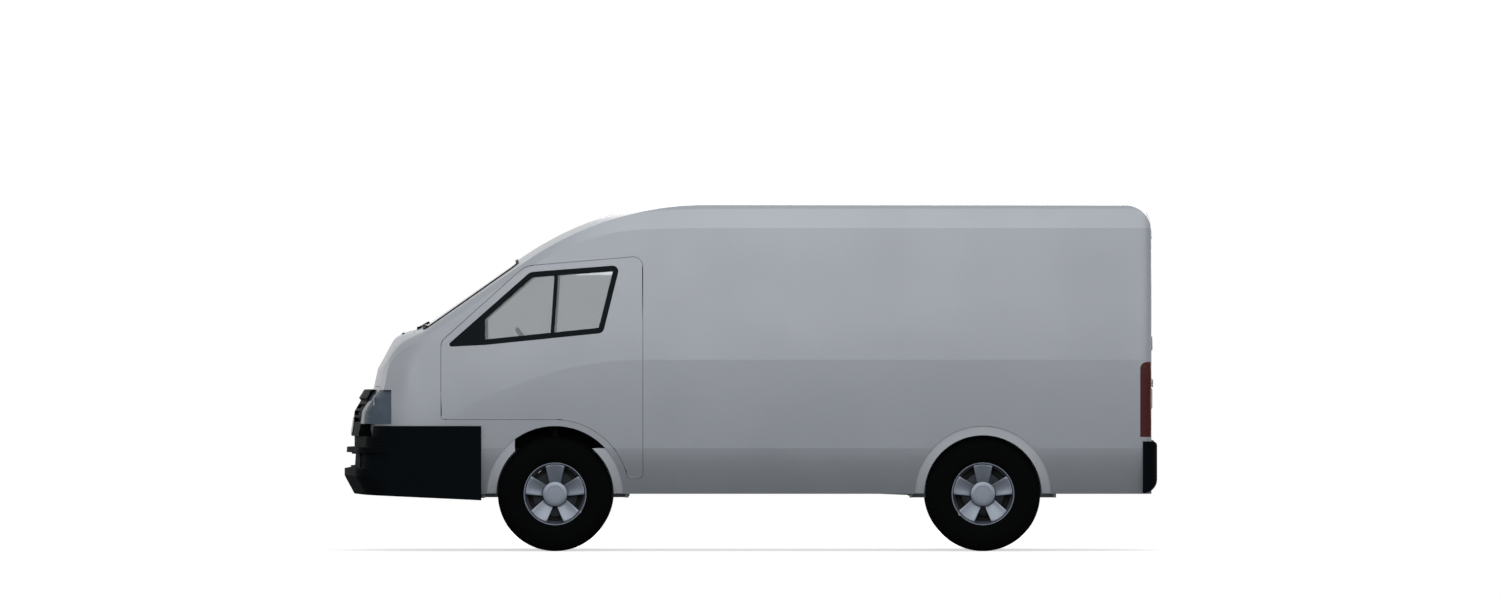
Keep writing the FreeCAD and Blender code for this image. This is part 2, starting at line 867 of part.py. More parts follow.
def make_chassis_rails():
    front = box(-2180, BULKHEAD_X - 30, RAIL_IN_Y, RAIL_OUT_Y, RAIL_LOW_Z + 120, LOAD_FLOOR_Z + 80)
    rear = box(BULKHEAD_X - 200, 2300, RAIL_IN_Y, RAIL_OUT_Y, RAIL_LOW_Z + 40, LOAD_FLOOR_Z)
    posts = [box(x, x + 60, RAIL_IN_Y, RAIL_OUT_Y, LOAD_FLOOR_Z + 80, CAB_FLOOR_Z) for x in (-2100, -640)]
    side = fuse(front, rear, *posts)
    mirror = mirrored(side)
    low = CRADLE_Z
    bars = [box(x, x + 70, -RAIL_OUT_Y, RAIL_OUT_Y, low, low + 40) for x in (-1060, -760)]
    drops = []
    for x in (-1060, -760):
        drops.append(box(x, x + 70, RAIL_IN_Y, RAIL_OUT_Y, low, RAIL_LOW_Z + 130))
        drops.append(box(x, x + 70, -RAIL_OUT_Y, -RAIL_IN_Y, low, RAIL_LOW_Z + 130))
    cross = [box(x, x + 60, -RAIL_IN_Y, RAIL_IN_Y, RAIL_LOW_Z + 60, LOAD_FLOOR_Z - 20) for x in (100, 2100)]
    return fuse(side, mirror, *(bars + drops + cross))


def make_engine_block():
    return box(-1190, ENGINE_REAR_X, -270, 270, CRADLE_Z + 40, CAB_FLOOR_Z - 40)


def make_front_suspension():
    """Lower and upper arms, cross beam, posts to the rails and dampers."""
    low = AXLE_Z - 140
    beam = box(FRONT_AXLE_X - 45, FRONT_AXLE_X + 45, -RAIL_OUT_Y, RAIL_OUT_Y, low, low + 57)
    post = box(FRONT_AXLE_X - 40, FRONT_AXLE_X + 40, -RAIL_OUT_Y, -RAIL_IN_Y, low, RAIL_LOW_Z + 120)
    lower = box(FRONT_AXLE_X - 30, FRONT_AXLE_X + 30, -KINGPIN_Y, -RAIL_OUT_Y + 10, low, ARM_LOW_TOP)
    lower_end = cylinder_z(FRONT_AXLE_X, -KINGPIN_Y, 30, low, ARM_LOW_TOP)
    upper = box(FRONT_AXLE_X - 25, FRONT_AXLE_X + 25, -KINGPIN_Y, -RAIL_OUT_Y + 10, ARM_TOP_LOW, ARM_TOP_LOW + 20)
    upper_end = cylinder_z(FRONT_AXLE_X, -KINGPIN_Y, 25, ARM_TOP_LOW, ARM_TOP_LOW + 20)
    damper = cylinder_z(FRONT_AXLE_X, -600, 25, low + 5, AXLE_Z + HOUSE_R - 1)
    side = [post, lower, lower_end, upper, upper_end, damper]
    side += [mirrored(shape) for shape in side]
    return fuse(beam, *side)


def make_knuckle():
    """Left upright with its stub axle, between the two arms."""
    low = ARM_LOW_TOP + PIN_GAP
    top = ARM_TOP_LOW - PIN_GAP
    post = box(FRONT_AXLE_X - 28, FRONT_AXLE_X + 28, -KINGPIN_Y - 22, -KINGPIN_Y + 22, low, top)
    stub = cylinder_y(FRONT_AXLE_X, AXLE_Z, STUB_R, -HALF_TRACK - 60, -KINGPIN_Y)
    plate = cylinder_y(FRONT_AXLE_X, AXLE_Z, 62, -KINGPIN_Y - 30, -KINGPIN_Y + 10)
    return fuse(post, stub, plate)


def make_tyre(x, side):
    """Tyre with a bevelled tread shoulder and a hollow for its rim."""
    half = TYRE_WIDTH / 2
    seat = RIM_WIDTH / 2 - 4
    corners = [
        (RIM_R, -seat, 0),
        (TYRE_R - 34, -half, 0),
        (TYRE_R, -half + 26, 0),
        (TYRE_R, half - 26, 0),
        (TYRE_R - 34, half, 0),
        (RIM_R, seat, 0),
    ]
    wire = outline(corners, lambda p: V(p.x, p.y, 0))
    ring = Part.Face(wire).revolve(V(0, 0, 0), V(0, 1, 0), 360)
    ring.translate(V(x, side * HALF_TRACK, AXLE_Z))
    return solids_of(ring)


def make_rim(x, side):
    """Rim barrel, hub and five spokes that widen towards the rim."""
    half = RIM_WIDTH / 2 - 4
    barrel = Part.makeCylinder(RIM_R, 2 * half, V(0, -half, 0), V(0, 1, 0))
    barrel = barrel.cut(Part.makeCylinder(RIM_R - RIM_WALL, 2 * half + 2, V(0, -half - 1, 0), V(0, 1, 0)))
    face_y = -DISC_OUT
    hub = Part.makeCylinder(HUB_R, DISC_THICK, V(0, face_y, 0), V(0, 1, 0))
    spokes = []
    for i in range(SPOKES):
        corners = [
            (40, -SPOKE_HUB_WIDTH / 2, 0),
            (RIM_R - 4, -SPOKE_RIM_WIDTH / 2, 0),
            (RIM_R - 4, SPOKE_RIM_WIDTH / 2, 0),
            (40, SPOKE_HUB_WIDTH / 2, 0),
        ]
        wire = outline(corners, lambda p: V(p.x, face_y, p.y))
        spoke = Part.Face(wire).extrude(V(0, DISC_THICK, 0))
        spoke.rotate(V(0, 0, 0), V(0, 1, 0), -90 + 360.0 / SPOKES * i)
        spokes.append(spoke)
    limit = Part.makeCylinder(RIM_R - 2, 400, V(0, -200, 0), V(0, 1, 0))
    star = solids_of(fuse(hub, *spokes)).common(limit)
    wheel = fuse(barrel, star)
    wheel = cut(wheel, Part.makeCylinder(BORE_R, 400, V(0, -200, 0), V(0, 1, 0)))
    cap = Part.makeCylinder(HUB_R - 30, 14, V(0, face_y - 10, 0), V(0, 1, 0))
    wheel = fuse(wheel, cap)
    if side > 0:
        wheel = mirrored(wheel)
    wheel.translate(V(x, side * HALF_TRACK, AXLE_Z))
    return solids_of(wheel)


def make_rear_axle():
    beam = cylinder_y(REAR_AXLE_X, AXLE_Z, 42, -KINGPIN_Y - 10, KINGPIN_Y + 10)
    stub = cylinder_y(REAR_AXLE_X, AXLE_Z, STUB_R, -HALF_TRACK - 60, HALF_TRACK + 60)
    drum = cylinder_y(REAR_AXLE_X, AXLE_Z, 125, -62, 62)
    right = Part.makeCone(125, 60, 90, V(REAR_AXLE_X, 62, AXLE_Z), V(0, 1, 0))
    left = Part.makeCone(125, 60, 90, V(REAR_AXLE_X, -62, AXLE_Z), V(0, -1, 0))
    return fuse(beam, stub, drum, right, left)


SPRING_Y = 560.0


def make_leaf_springs():
    """A bowed leaf pack on each side with its hangers under the floor."""
    half = 620
    rise = 95
    low = AXLE_Z + 42
    pack = 34
    path = Part.Arc(V(-half, 0, rise), V(0, 0, 0), V(half, 0, rise)).toShape()
    upper = Part.Arc(V(half, 0, rise + pack), V(0, 0, pack), V(-half, 0, rise + pack)).toShape()
    ends = [Part.LineSegment(V(half, 0, rise), V(half, 0, rise + pack)).toShape(),
            Part.LineSegment(V(-half, 0, rise + pack), V(-half, 0, rise)).toShape()]
    leaf = Part.Face(Part.Wire([path, ends[0], upper, ends[1]])).extrude(V(0, 60, 0))
    leaf.translate(V(REAR_AXLE_X, -SPRING_Y - 30, low))
    hangers = []
    for x in (REAR_AXLE_X - half, REAR_AXLE_X + half - 40):
        hangers.append(box(x, x + 40, -SPRING_Y - 30, -SPRING_Y + 30, low + rise + 10, LOAD_FLOOR_Z))
    return both(fuse(leaf, *hangers))


def make_fuel_tank():
    top = LOAD_FLOOR_Z
    corners = [(60, CRADLE_Z, 50), (730, CRADLE_Z, 50), (730, top, 20), (60, top, 20)]
    return side_prism(corners, -780, -450)


def make_exhaust():
    z = 427
    pipe = rod((ENGINE_REAR_X, 230, z), (250, 230, z), 26)
    silencer = Part.makeCylinder(75, 480, V(250, 230, z), V(1, 0, 0))
    tail = rod((730, 230, z), (2345, 230, z), 22)
    hangers = [box(x, x + 30, 215, 245, z, LOAD_FLOOR_Z) for x in (470, 2000)]
    return fuse(pipe, silencer, tail, *hangers)


def make_propeller_shaft():
    """Tube from the gearbox end of the engine block to the axle housing."""
    shaft = rod((ENGINE_REAR_X - 20, 0, 430), (REAR_AXLE_X - 120, 0, AXLE_Z + 10), 36)
    return cut(shaft, make_engine_block(), make_rear_axle())


def make_seats():
    cushion = side_prism([(-1060, 880, 40), (-640, 850, 30), (-640, 1000, 30), (-1060, 1020, 50)], -760, -140)
    back = side_prism([(-700, 1000, 20), (-580, 1000, 20), (-575, 1290, 40), (-650, 1290, 40)], -750, -150)
    plinth = box(-1020, -660, -720, -180, SEAT_FLOOR_Z, 880)
    return both(fuse(cushion, back, plinth))


def make_dashboard():
    corners = [(-2080, 960, 20), (-1640, 960, 60), (-1600, 1140, 60), (-1660, 1215, 60), (-2080, 1250, 0)]
    board = side_prism(corners, -1000, 1000)
    legs = box(-2080, -1980, -1000, 1000, SEAT_FLOOR_Z, 970)
    return cut(meet(fuse(board, legs), body_form(WALL)), cab_flanges())


STEER_TOP = (-1408.0, 1341.0)
STEER_LOW = (-1180.0, 1037.0)
STEER_Y = -400.0


def eight_sided_ring(radius, thick, middle, normal):
    """Ring with an eight-sided section round an axis through its middle."""
    corners = []
    for i in range(9):
        turn = math.radians(45 * i + 22.5)
        corners.append(V(radius + thick * math.cos(turn), 0, thick * math.sin(turn)))
    ring = Part.Face(Part.makePolygon(corners)).revolve(V(0, 0, 0), V(0, 0, 1), 360)
    ring.Placement = FreeCAD.Placement(middle, FreeCAD.Rotation(V(0, 0, 1), normal))
    return ring


def make_steering_wheel():
    middle = V((STEER_TOP[0] + STEER_LOW[0]) / 2, STEER_Y, (STEER_TOP[1] + STEER_LOW[1]) / 2)
    along = V(STEER_TOP[0] - STEER_LOW[0], 0, STEER_TOP[1] - STEER_LOW[1])
    radius = along.Length / 2 - 14
    along.normalize()
    normal = V(-along.z, 0, along.x)
    ring = eight_sided_ring(radius, 14, middle, normal)
    spokes = [rod(tuple(middle - along * radius), tuple(middle + along * radius), 11)]
    spokes.append(rod(tuple(middle - V(0, radius, 0)), tuple(middle + V(0, radius, 0)), 11))
    hub = Part.makeCylinder(45, 50, middle - normal * 10, normal)
    column = rod(tuple(middle), tuple(middle + normal * 640), 24)
    below = box(-2200, -1400, STEER_Y - 100, STEER_Y + 100, SEAT_FLOOR_Z - 300, SEAT_FLOOR_Z)
    return cut(fuse(ring, hub, column, *spokes), below)


PARTS = {
    "front_frame": make_front_frame,
    "side_panel_left": make_side_panel_left,
    "side_panel_right": make_side_panel_right,
    "sliding_door": make_sliding_door,
    "rear_frame": make_rear_frame,
    "roof_panel": make_roof_panel,
    "windscreen": make_windscreen,
    "screen_seal": make_screen_seal,
    "bonnet": make_bonnet,
    "grille": make_grille,
    "headlamps": make_headlamps,
    "tail_lamps": make_tail_lamps,
    "front_bumper": make_front_bumper,
    "rear_bumper": make_rear_bumper,
    "tailgate": make_tailgate,
    "tailgate_glass": make_tailgate_glass,
    "tailgate_seal": make_tailgate_seal,
    "floor_pan": make_floor_pan,
    "bulkhead": make_bulkhead,
    "front_wheelhouses": make_front_wheelhouses,
    "rear_wheelhouses": make_rear_wheelhouses,
    "front_arch_liners": make_front_arch_liners,
    "chassis_rails": make_chassis_rails,
    "engine_block": make_engine_block,
    "front_suspension": make_front_suspension,
    "rear_axle": make_rear_axle,
    "leaf_springs": make_leaf_springs,
    "fuel_tank": make_fuel_tank,
    "exhaust": make_exhaust,
    "propeller_shaft": make_propeller_shaft,
    "seats": make_seats,
    "dashboard": make_dashboard,
    "steering_wheel": make_steering_wheel,
}

SIDED = {
    "door_panel": make_door_panel,
    "door_frame": make_door_frame,
    "door_glass": make_door_glass,
    "knuckle": make_knuckle,
}


def save(name, shape):
    solids_of(shape).exportStep("parts/" + name + ".step")


def main():
    for name, make in PARTS.items():
        save(name, make())
    for name, make in SIDED.items():
        shape = make()
        save(name + "_left", shape)
        save(name + "_right", mirrored(shape))
    for place, x in (("front", FRONT_AXLE_X), ("rear", REAR_AXLE_X)):
        for name, side in (("left", -1), ("right", 1)):
            save("tyre_" + place + "_" + name, make_tyre(x, side))
            save("rim_" + place + "_" + name, make_rim(x, side))


main()
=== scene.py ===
"""Looks of a panel van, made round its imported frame."""

from __future__ import annotations

import logging
import math
from collections.abc import Callable, Iterable, Sequence
from dataclasses import dataclass, field
from enum import Enum

import bmesh
import bpy
from mathutils import Matrix, Vector


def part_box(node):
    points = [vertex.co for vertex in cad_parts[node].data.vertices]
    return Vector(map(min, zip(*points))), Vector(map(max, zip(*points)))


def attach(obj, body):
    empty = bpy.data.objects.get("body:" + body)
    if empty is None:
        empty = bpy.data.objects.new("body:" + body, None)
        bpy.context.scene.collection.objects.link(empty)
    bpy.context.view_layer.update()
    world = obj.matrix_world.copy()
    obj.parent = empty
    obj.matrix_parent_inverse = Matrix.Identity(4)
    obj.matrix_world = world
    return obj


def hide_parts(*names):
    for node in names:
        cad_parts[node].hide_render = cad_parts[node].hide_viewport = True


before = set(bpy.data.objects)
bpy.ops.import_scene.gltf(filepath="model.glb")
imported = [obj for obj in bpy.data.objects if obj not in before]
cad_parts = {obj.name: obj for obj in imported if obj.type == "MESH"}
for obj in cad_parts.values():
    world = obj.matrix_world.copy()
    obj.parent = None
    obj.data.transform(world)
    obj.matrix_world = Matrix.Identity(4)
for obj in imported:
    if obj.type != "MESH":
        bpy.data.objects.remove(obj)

log = logging.getLogger("van")
MM = 0.001

Socket = bpy.types.NodeSocket
Node = bpy.types.Node
Tree = bpy.types.NodeTree
Piece = bpy.types.Object
Point = tuple[float, float, float]
Spot = tuple[float, float]
Links = dict[str | int, object]


def linear(colour: str) -> tuple[float, float, float, float]:
    """Turns an sRGB hex colour to the linear one that a shader takes.

    Args:
        colour: Six hex digits after a hash.

    Returns:
        Red, green, blue and a full alpha.
    """
    parts = [int(colour[i : i + 2], 16) / 255 for i in (1, 3, 5)]
    red, green, blue = (c / 12.92 if c <= 0.04045 else ((c + 0.055) / 1.055) ** 2.4 for c in parts)
    return red, green, blue, 1.0


def add(tree: Tree, kind: str, links: Links | None = None, **settings: object) -> Node:
    """Adds a node with its settings and its links.

    Args:
        tree: The node tree that it goes in.
        kind: The node's type name.
        links: Input name or number, with a socket to link or a value to set.
        settings: The node's own properties.

    Returns:
        The new node.
    """
    node = tree.nodes.new(kind)
    for name, value in settings.items():
        setattr(node, name, value)
    for name, value in (links or {}).items():
        if isinstance(value, Socket):
            tree.links.new(value, node.inputs[name])
        else:
            node.inputs[name].default_value = value
    return node


def coordinates(tree: Tree, scale_mm: float, stretch: Point = (1.0, 1.0, 1.0)) -> Socket:
    """Object coordinates in which one pattern unit is this many millimetres.

    Args:
        tree: The node tree.
        scale_mm: Size of one unit of the pattern.
        stretch: More or fewer units along each axis.

    Returns:
        The socket to give a pattern as its vector.
    """
    place = add(tree, "ShaderNodeTexCoord")
    scale = tuple(s / (scale_mm * MM) for s in stretch)
    return add(tree, "ShaderNodeMapping", {0: place.outputs["Object"], "Scale": scale}).outputs[0]


@dataclass(frozen=True)
class Finish:
    """A material of one colour pair, with a mottle, a bump and a shine.

    The two sub-classes say what their real materials are and how they were made.
    """

    name: str
    colour: str
    second: str
    roughness: float = 0.5
    spread: float = 0.06
    metallic: float = 0.0
    coat: float = 0.0
    coat_roughness: float = 0.03
    mottle_mm: float = 180.0
    grain_mm: float = 1.5
    grain_depth_mm: float = 0.05
    grain_strength: float = 0.2
    ior: float = 1.5
    specular: float = 0.5

    def mottle(self, tree: Tree) -> Socket:
        """Slow change of tone over the surface."""
        noise = add(
            tree,
            "ShaderNodeTexNoise",
            {0: coordinates(tree, self.mottle_mm), "Scale": 1.0, "Detail": 3.0},
        )
        return noise.outputs[0]

    def grain(self, tree: Tree) -> Socket:
        """Height of the surface's own fine texture."""
        noise = add(
            tree,
            "ShaderNodeTexNoise",
            {0: coordinates(tree, self.grain_mm), "Scale": 1.0, "Detail": 2.0},
        )
        return noise.outputs[0]

    def tone(self, tree: Tree) -> Socket:
        """Colour of the surface."""
        mix = add(
            tree,
            "ShaderNodeMix",
            {0: self.mottle(tree), 6: linear(self.colour), 7: linear(self.second)},
            data_type="RGBA",
        )
        return mix.outputs[2]

    def build(self) -> bpy.types.Material:
        """Makes the material, or finds the one already made."""
        found = bpy.data.materials.get(self.name)
        if found:
            return found
        made = bpy.data.materials.new(self.name)
        made.use_nodes = True
        tree = made.node_tree
        tree.nodes.clear()
        low, high = self.roughness - self.spread, self.roughness + self.spread
        shine = add(tree, "ShaderNodeMapRange", {0: self.mottle(tree), 3: low, 4: high})
        bump = add(
            tree,
            "ShaderNodeBump",
            {
                "Strength": self.grain_strength,
                "Distance": self.grain_depth_mm * MM,
                "Height": self.grain(tree),
            },
        )
        shader = add(
            tree,
            "ShaderNodeBsdfPrincipled",
            {
                "Base Color": self.tone(tree),
                "Roughness": shine.outputs[0],
                "Metallic": self.metallic,
                "Coat Weight": self.coat,
                "Coat Roughness": self.coat_roughness,
                "IOR": self.ior,
                "Specular IOR Level": self.specular,
                "Normal": bump.outputs[0],
            },
        )
        self.extra(tree, shader)
        add(tree, "ShaderNodeOutputMaterial", {0: self.surface(tree, shader)})
        return made

    def extra(self, tree: Tree, shader: Node) -> None:
        """Settings that only one kind of finish has."""

    def surface(self, tree: Tree, shader: Node) -> Socket:
        """The shader that the surface shows."""
        return shader.outputs[0]


@dataclass(frozen=True)
class BodyPaint(Finish):
    """Baked acrylic enamel, silver grey, sprayed on pressed steel under a clear coat.

    The clear coat gives soft long reflections, and a mottled painted shade darkens the paint towards the sills.
    """

    # Colour of the painted shade that darkens the paint low on the body.
    haze_and_shade: str = "#6b747e"

    def tone(self, tree: Tree) -> Socket:
        """Paint with a mottled painted shade that darkens it towards the sills and fades out above 1.1 m."""
        paint = super().tone(tree)
        # Painted shade: below 1.1 m the paint blends towards the darker colour, by up to 0.24 at 0.55 m, scaled by the
        # mottle.
        place = add(tree, "ShaderNodeTexCoord")
        height = add(tree, "ShaderNodeSeparateXYZ", {0: place.outputs["Object"]})
        shade_share = add(
            tree,
            "ShaderNodeMapRange",
            {0: height.outputs[2], 1: 1.1, 2: 0.55, 3: 0.0, 4: 0.24},
        )
        mottled_shade = add(
            tree, "ShaderNodeMath", {0: shade_share.outputs[0], 1: self.mottle(tree)}, operation="MULTIPLY"
        )
        mix = add(
            tree,
            "ShaderNodeMix",
            {0: mottled_shade.outputs[0], 6: paint, 7: linear(self.haze_and_shade)},
            data_type="RGBA",
        )
        return mix.outputs[2]


@dataclass(frozen=True)
class Pane(Finish):
    """Float glass, bent and toughened, or a lens moulded in acrylic.

    Lamps shine through it, so that what is behind it stays lit. A thin layer of
    road haze, the same all over, takes some of the shine.
    """

    haze_and_shade: str = "#3a3d40"
    share: float = 0.1

    def surface(self, tree: Tree, shader: Node) -> Socket:
        """Glass under its haze to the eye, and clear to the lamps."""
        path = add(tree, "ShaderNodeLightPath")
        clear = add(tree, "ShaderNodeBsdfTransparent", {0: linear(self.colour)})
        haze = add(tree, "ShaderNodeBsdfDiffuse", {0: linear(self.haze_and_shade)})
        seen = add(
            tree, "ShaderNodeMixShader", {0: self.share, 1: shader.outputs[0], 2: haze.outputs[0]}
        )
        mix = add(
            tree,
            "ShaderNodeMixShader",
            {0: path.outputs["Is Shadow Ray"], 1: seen.outputs[0], 2: clear.outputs[0]},
        )
        return mix.outputs[0]

    def extra(self, tree: Tree, shader: Node) -> None:
        """Lets light through."""
        shader.inputs["Transmission Weight"].default_value = 1.0


PAINT = BodyPaint(
    "enamel_silver_grey", "#aeb3ba", "#a7acb3", 0.42, 0.04, 0.3, 0.22, 0.16, 400, 9, 0.03, 0.15, specular=0.35
)
BUMPER = Finish(
    "polypropylene_grained", "#0b0f12", "#0f1316", 0.6, 0.06, 0, 0, 0.03, 120, 1.6, 0.12, 0.5, specular=0.015
)
GLOSS_BLACK = Finish(
    "abs_black", "#0b0d10", "#0f1214", 0.45, 0.03, 0, 0, 0.03, 150, 6, 0.02, 0.1, specular=0.006
)
FRAME_BLACK = Finish(
    "powder_coat_black", "#10151a", "#13181d", 0.55, 0.05, 0, 0, 0.03, 90, 1.2, 0.05, 0.3, specular=0.08
)
LINER = Finish("polypropylene_felt", "#141818", "#1a1d1d", 0.9, 0.05, 0, 0, 0.03, 60, 2.5, 0.4, 0.7, specular=0.1)
RUBBER = Finish("carbon_black_rubber", "#050607", "#090a0b", 0.75, 0.08, 0, 0, 0.03, 70, 1.5, 0.1, 0.4, specular=0.03)
ALLOY = Finish("cast_aluminium_painted", "#7c8491", "#858d9a", 0.38, 0.05, 0.45, 0.25, 0.08, 60, 1.5, 0.04, 0.2)
CHASSIS = Finish("dip_primer_black", "#191b1c", "#23211f", 0.65, 0.1, 0, 0, 0.03, 90, 2.5, 0.2, 0.5, specular=0.3)
IRON = Finish("cast_iron", "#4a4744", "#3b3835", 0.6, 0.1, 0.7, 0, 0.03, 40, 2.0, 0.3, 0.6)
LINING = Finish("pressed_steel_primed", "#b4b9bf", "#adb2b8", 0.5, 0.05, 0, 0, 0.03, 200, 5, 0.05, 0.2)
TRIM = Finish("moulded_abs_grained", "#23272b", "#2a2e32", 0.6, 0.05, 0, 0, 0.03, 120, 1.4, 0.1, 0.5, specular=0.3)
CLOTH = Finish("woven_polyester", "#33363a", "#3d4045", 0.85, 0.05, 0, 0, 0.03, 30, 1.5, 0.3, 0.7, specular=0.2)
# Painted shade: much darker than machined iron, so that the brakes stay dark in the gaps between the spokes.
BRAKE_PAINTED_SHADE = Finish("machined_cast_iron", "#24282d", "#1e2226", 0.45, 0.08, 0.8, 0, 0.03, 25, 1.2, 0.06, 0.4)
STEEL = Finish("zinc_plated_steel", "#9aa0a6", "#868b90", 0.3, 0.08, 0.9, 0, 0.03, 20, 1.0, 0.03, 0.3)
SEAL = Finish("epdm_rubber", "#0d0f11", "#121416", 0.7, 0.05, 0, 0, 0.03, 50, 1.0, 0.05, 0.3, specular=0.15)
HUB = Finish("cast_aluminium_bright", "#858d9a", "#8e96a3", 0.4, 0.04, 0.4, 0.2, 0.1, 60, 1.5, 0.02, 0.1)
# Painted light: paler than the body paint, so that the arch rings look lit although they sit in the arch's shade.
ARCH_PAINTED_LIGHT = Finish("pressed_steel_pale", "#c4c9d0", "#bec3ca", 0.5, 0.04, 0, 0, 0.03, 200, 5, 0.05, 0.2)
BEZEL = Finish("polycarbonate_grey", "#4e5966", "#556170", 0.35, 0.04, 0.2, 0.2, 0.1, 60, 8, 0.03, 0.1)
CHROME = Finish("vapour_aluminised_plastic", "#747b83", "#6e757d", 0.25, 0.02, 1.0, 0, 0.03, 30, 6, 0.02, 0.05)
BLANK = Finish("aluminium_sheet_white", "#d8dadb", "#d2d4d5", 0.35, 0.03, 0, 0, 0.03, 90, 3, 0.02, 0.1)
AMBER = Finish("acrylic_amber_moulded", "#b5651d", "#a65c19", 0.2, 0.03, 0, 0.5, 0.04, 30, 5, 0.05, 0.2)
WHITE_LENS = Finish("acrylic_clear_moulded", "#c9ced2", "#c1c6ca", 0.15, 0.03, 0, 0.5, 0.04, 30, 5, 0.05, 0.2)
VINYL = Finish("vinyl_embossed", "#24272b", "#2a2d31", 0.55, 0.05, 0, 0, 0.03, 40, 2.0, 0.15, 0.5, specular=0.3)
BOARD = Finish("phenolic_birch_ply", "#4b3a2c", "#5a4736", 0.5, 0.06, 0, 0, 0.03, 90, 2.2, 0.15, 0.5)
GLASS = Pane("toughened_glass", "#c3c7ca", "#bfc3c6", 0.0, 0.0, 0, 0, 0.03, 300, 200, 0.01, 0.02)
LENS = Pane("polycarbonate_lens", "#dde3e8", "#d8dee3", 0.02, 0.0, 0, 0, 0.03, 300, 40, 0.05, 0.1, ior=1.2, haze_and_shade="#6b7785", share=0.45)
RED_LENS = Finish("acrylic_red_moulded", "#560d11", "#450a0d", 0.2, 0.03, 0, 0.25, 0.04, 60, 6, 0.03, 0.1)

class Axis(Enum):
    """A direction of the row frame."""

    X = (1.0, 0.0, 0.0)
    Y = (0.0, 1.0, 0.0)
    Z = (0.0, 0.0, 1.0)

    def place(self, centre: Point, along: float, out: float) -> Point:
        """Point at a distance along this axis and out from it."""
        x, y, z = centre
        if self is Axis.X:
            return x + along, y, z + out
        if self is Axis.Y:
            return x, y + along, z + out
        return x + out, y, z + along


class Part(Enum):
    """What a pick in edit mode takes."""

    FACE = "FACE"
    EDGE = "EDGE"
    VERT = "VERT"


def clear() -> None:
    """Leaves edit mode and deselects everything."""
    if bpy.context.mode != "OBJECT":
        bpy.ops.object.mode_set(mode="OBJECT")
    bpy.ops.object.select_all(action="DESELECT")


def only(piece: Piece) -> None:
    """Makes a piece the one that is selected and active."""
    clear()
    piece.select_set(True)
    bpy.context.view_layer.objects.active = piece


def begin(name: str) -> Piece:
    """Names the primitive just added and opens it in edit mode, nothing picked."""
    piece = bpy.context.object
    piece.name = piece.data.name = name
    bpy.ops.object.mode_set(mode="EDIT")
    bpy.ops.mesh.select_all(action="DESELECT")
    return piece


def pick(piece: Piece, test: Callable[[Vector, Vector], bool], part: Part = Part.FACE) -> int:
    """Picks faces, edges or corners in edit mode by place and normal.

    Args:
        piece: The piece in edit mode.
        test: Given the middle and the normal, says if the element is taken.
        part: Which kind of element.

    Returns:
        How many were taken.
    """
    bpy.ops.mesh.select_mode(type=part.value)
    bpy.ops.mesh.select_all(action="DESELECT")
    mesh = bmesh.from_edit_mesh(piece.data)
    count = 0
    if part is Part.FACE:
        for face in mesh.faces:
            if test(face.calc_center_median(), face.normal):
                face.select_set(True)
                count += 1
    elif part is Part.EDGE:
        for edge in mesh.edges:
            ends = [v.co for v in edge.verts]
            if test((ends[0] + ends[1]) / 2, (ends[1] - ends[0]).normalized()):
                edge.select_set(True)
                count += 1
    else:
        for vert in mesh.verts:
            if test(vert.co, vert.normal):
                vert.select_set(True)
                count += 1
    mesh.select_flush_mode()
    bmesh.update_edit_mesh(piece.data)
    return count


def push(by: Point) -> None:
    """Extrudes what is picked and moves it."""
    bpy.ops.mesh.extrude_region_move(TRANSFORM_OT_translate={"value": by})


def grow(by: Point, centre: Point) -> None:
    """Scales what is picked about a point."""
    bpy.ops.transform.resize(value=by, center_override=centre)


def tidy(piece: Piece) -> None:
    """Merges doubles, drops slivers, points the faces outwards and leaves edit mode."""
    bpy.ops.mesh.select_all(action="SELECT")
    bpy.ops.mesh.remove_doubles(threshold=0.00002)
    bpy.ops.mesh.dissolve_degenerate(threshold=0.00001)
    bpy.ops.mesh.normals_make_consistent(inside=False)
    bpy.ops.object.mode_set(mode="OBJECT")


def settle(piece: Piece) -> None:
    """Puts a piece's place into its mesh."""
    only(piece)
    bpy.ops.object.transform_apply(location=True, rotation=True, scale=True)


def modify(piece: Piece, kind: str, **settings: object) -> None:
    """Adds a modifier and applies it."""
    only(piece)
    made = piece.modifiers.new(kind.lower(), kind)
    for name, value in settings.items():
        setattr(made, name, value)
    bpy.ops.object.modifier_apply(modifier=made.name)


def bevel(piece: Piece, width: float, segments: int = 2, angle: float = 30.0) -> None:
    """Rounds the sharp edges of a piece."""
    modify(
        piece,
        "BEVEL",
        width=width,
        segments=segments,
        limit_method="ANGLE",
        angle_limit=math.radians(angle),
        use_clamp_overlap=True,
    )


def join(first: Piece, others: Iterable[Piece]) -> Piece:
    """Joins pieces of one finish into the first."""
    clear()
    for other in others:
        other.select_set(True)
    first.select_set(True)
    bpy.context.view_layer.objects.active = first
    bpy.ops.object.join()
    return first


def copy(piece: Piece, name: str, move: Point = (0, 0, 0), flip: bool = False) -> Piece:
    """A copy with its own mesh, moved, or mirrored to the other side of the van."""
    made = piece.copy()
    made.data = piece.data.copy()
    made.name = made.data.name = name
    bpy.context.scene.collection.objects.link(made)
    made.location = move
    if flip:
        made.scale = (1, -1, 1)
    settle(made)
    if flip:
        bpy.ops.object.mode_set(mode="EDIT")
        tidy(made)
    return made


def finish(
    piece: Piece, body: str, look: Finish, slot: str, smooth: float = 35.0, replaces: Sequence[str] = ()
) -> Piece:
    """Gives a finished piece its material, shading and body.

    Args:
        piece: The piece, in place.
        body: The CAD body that it moves with.
        look: Its finish.
        slot: The record's material slot; not used.
        smooth: Angle in degrees below which edges shade smooth.
        replaces: CAD nodes that it stands for.

    Returns:
        The same piece.
    """
    only(piece)
    bpy.ops.object.shade_smooth_by_angle(angle=math.radians(smooth))
    piece.data.materials.clear()
    piece.data.materials.append(look.build())
    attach(piece, body)
    if replaces:
        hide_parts(*replaces)
    log.info("made %s, %d faces, on %s", piece.name, len(piece.data.polygons), body)
    return piece


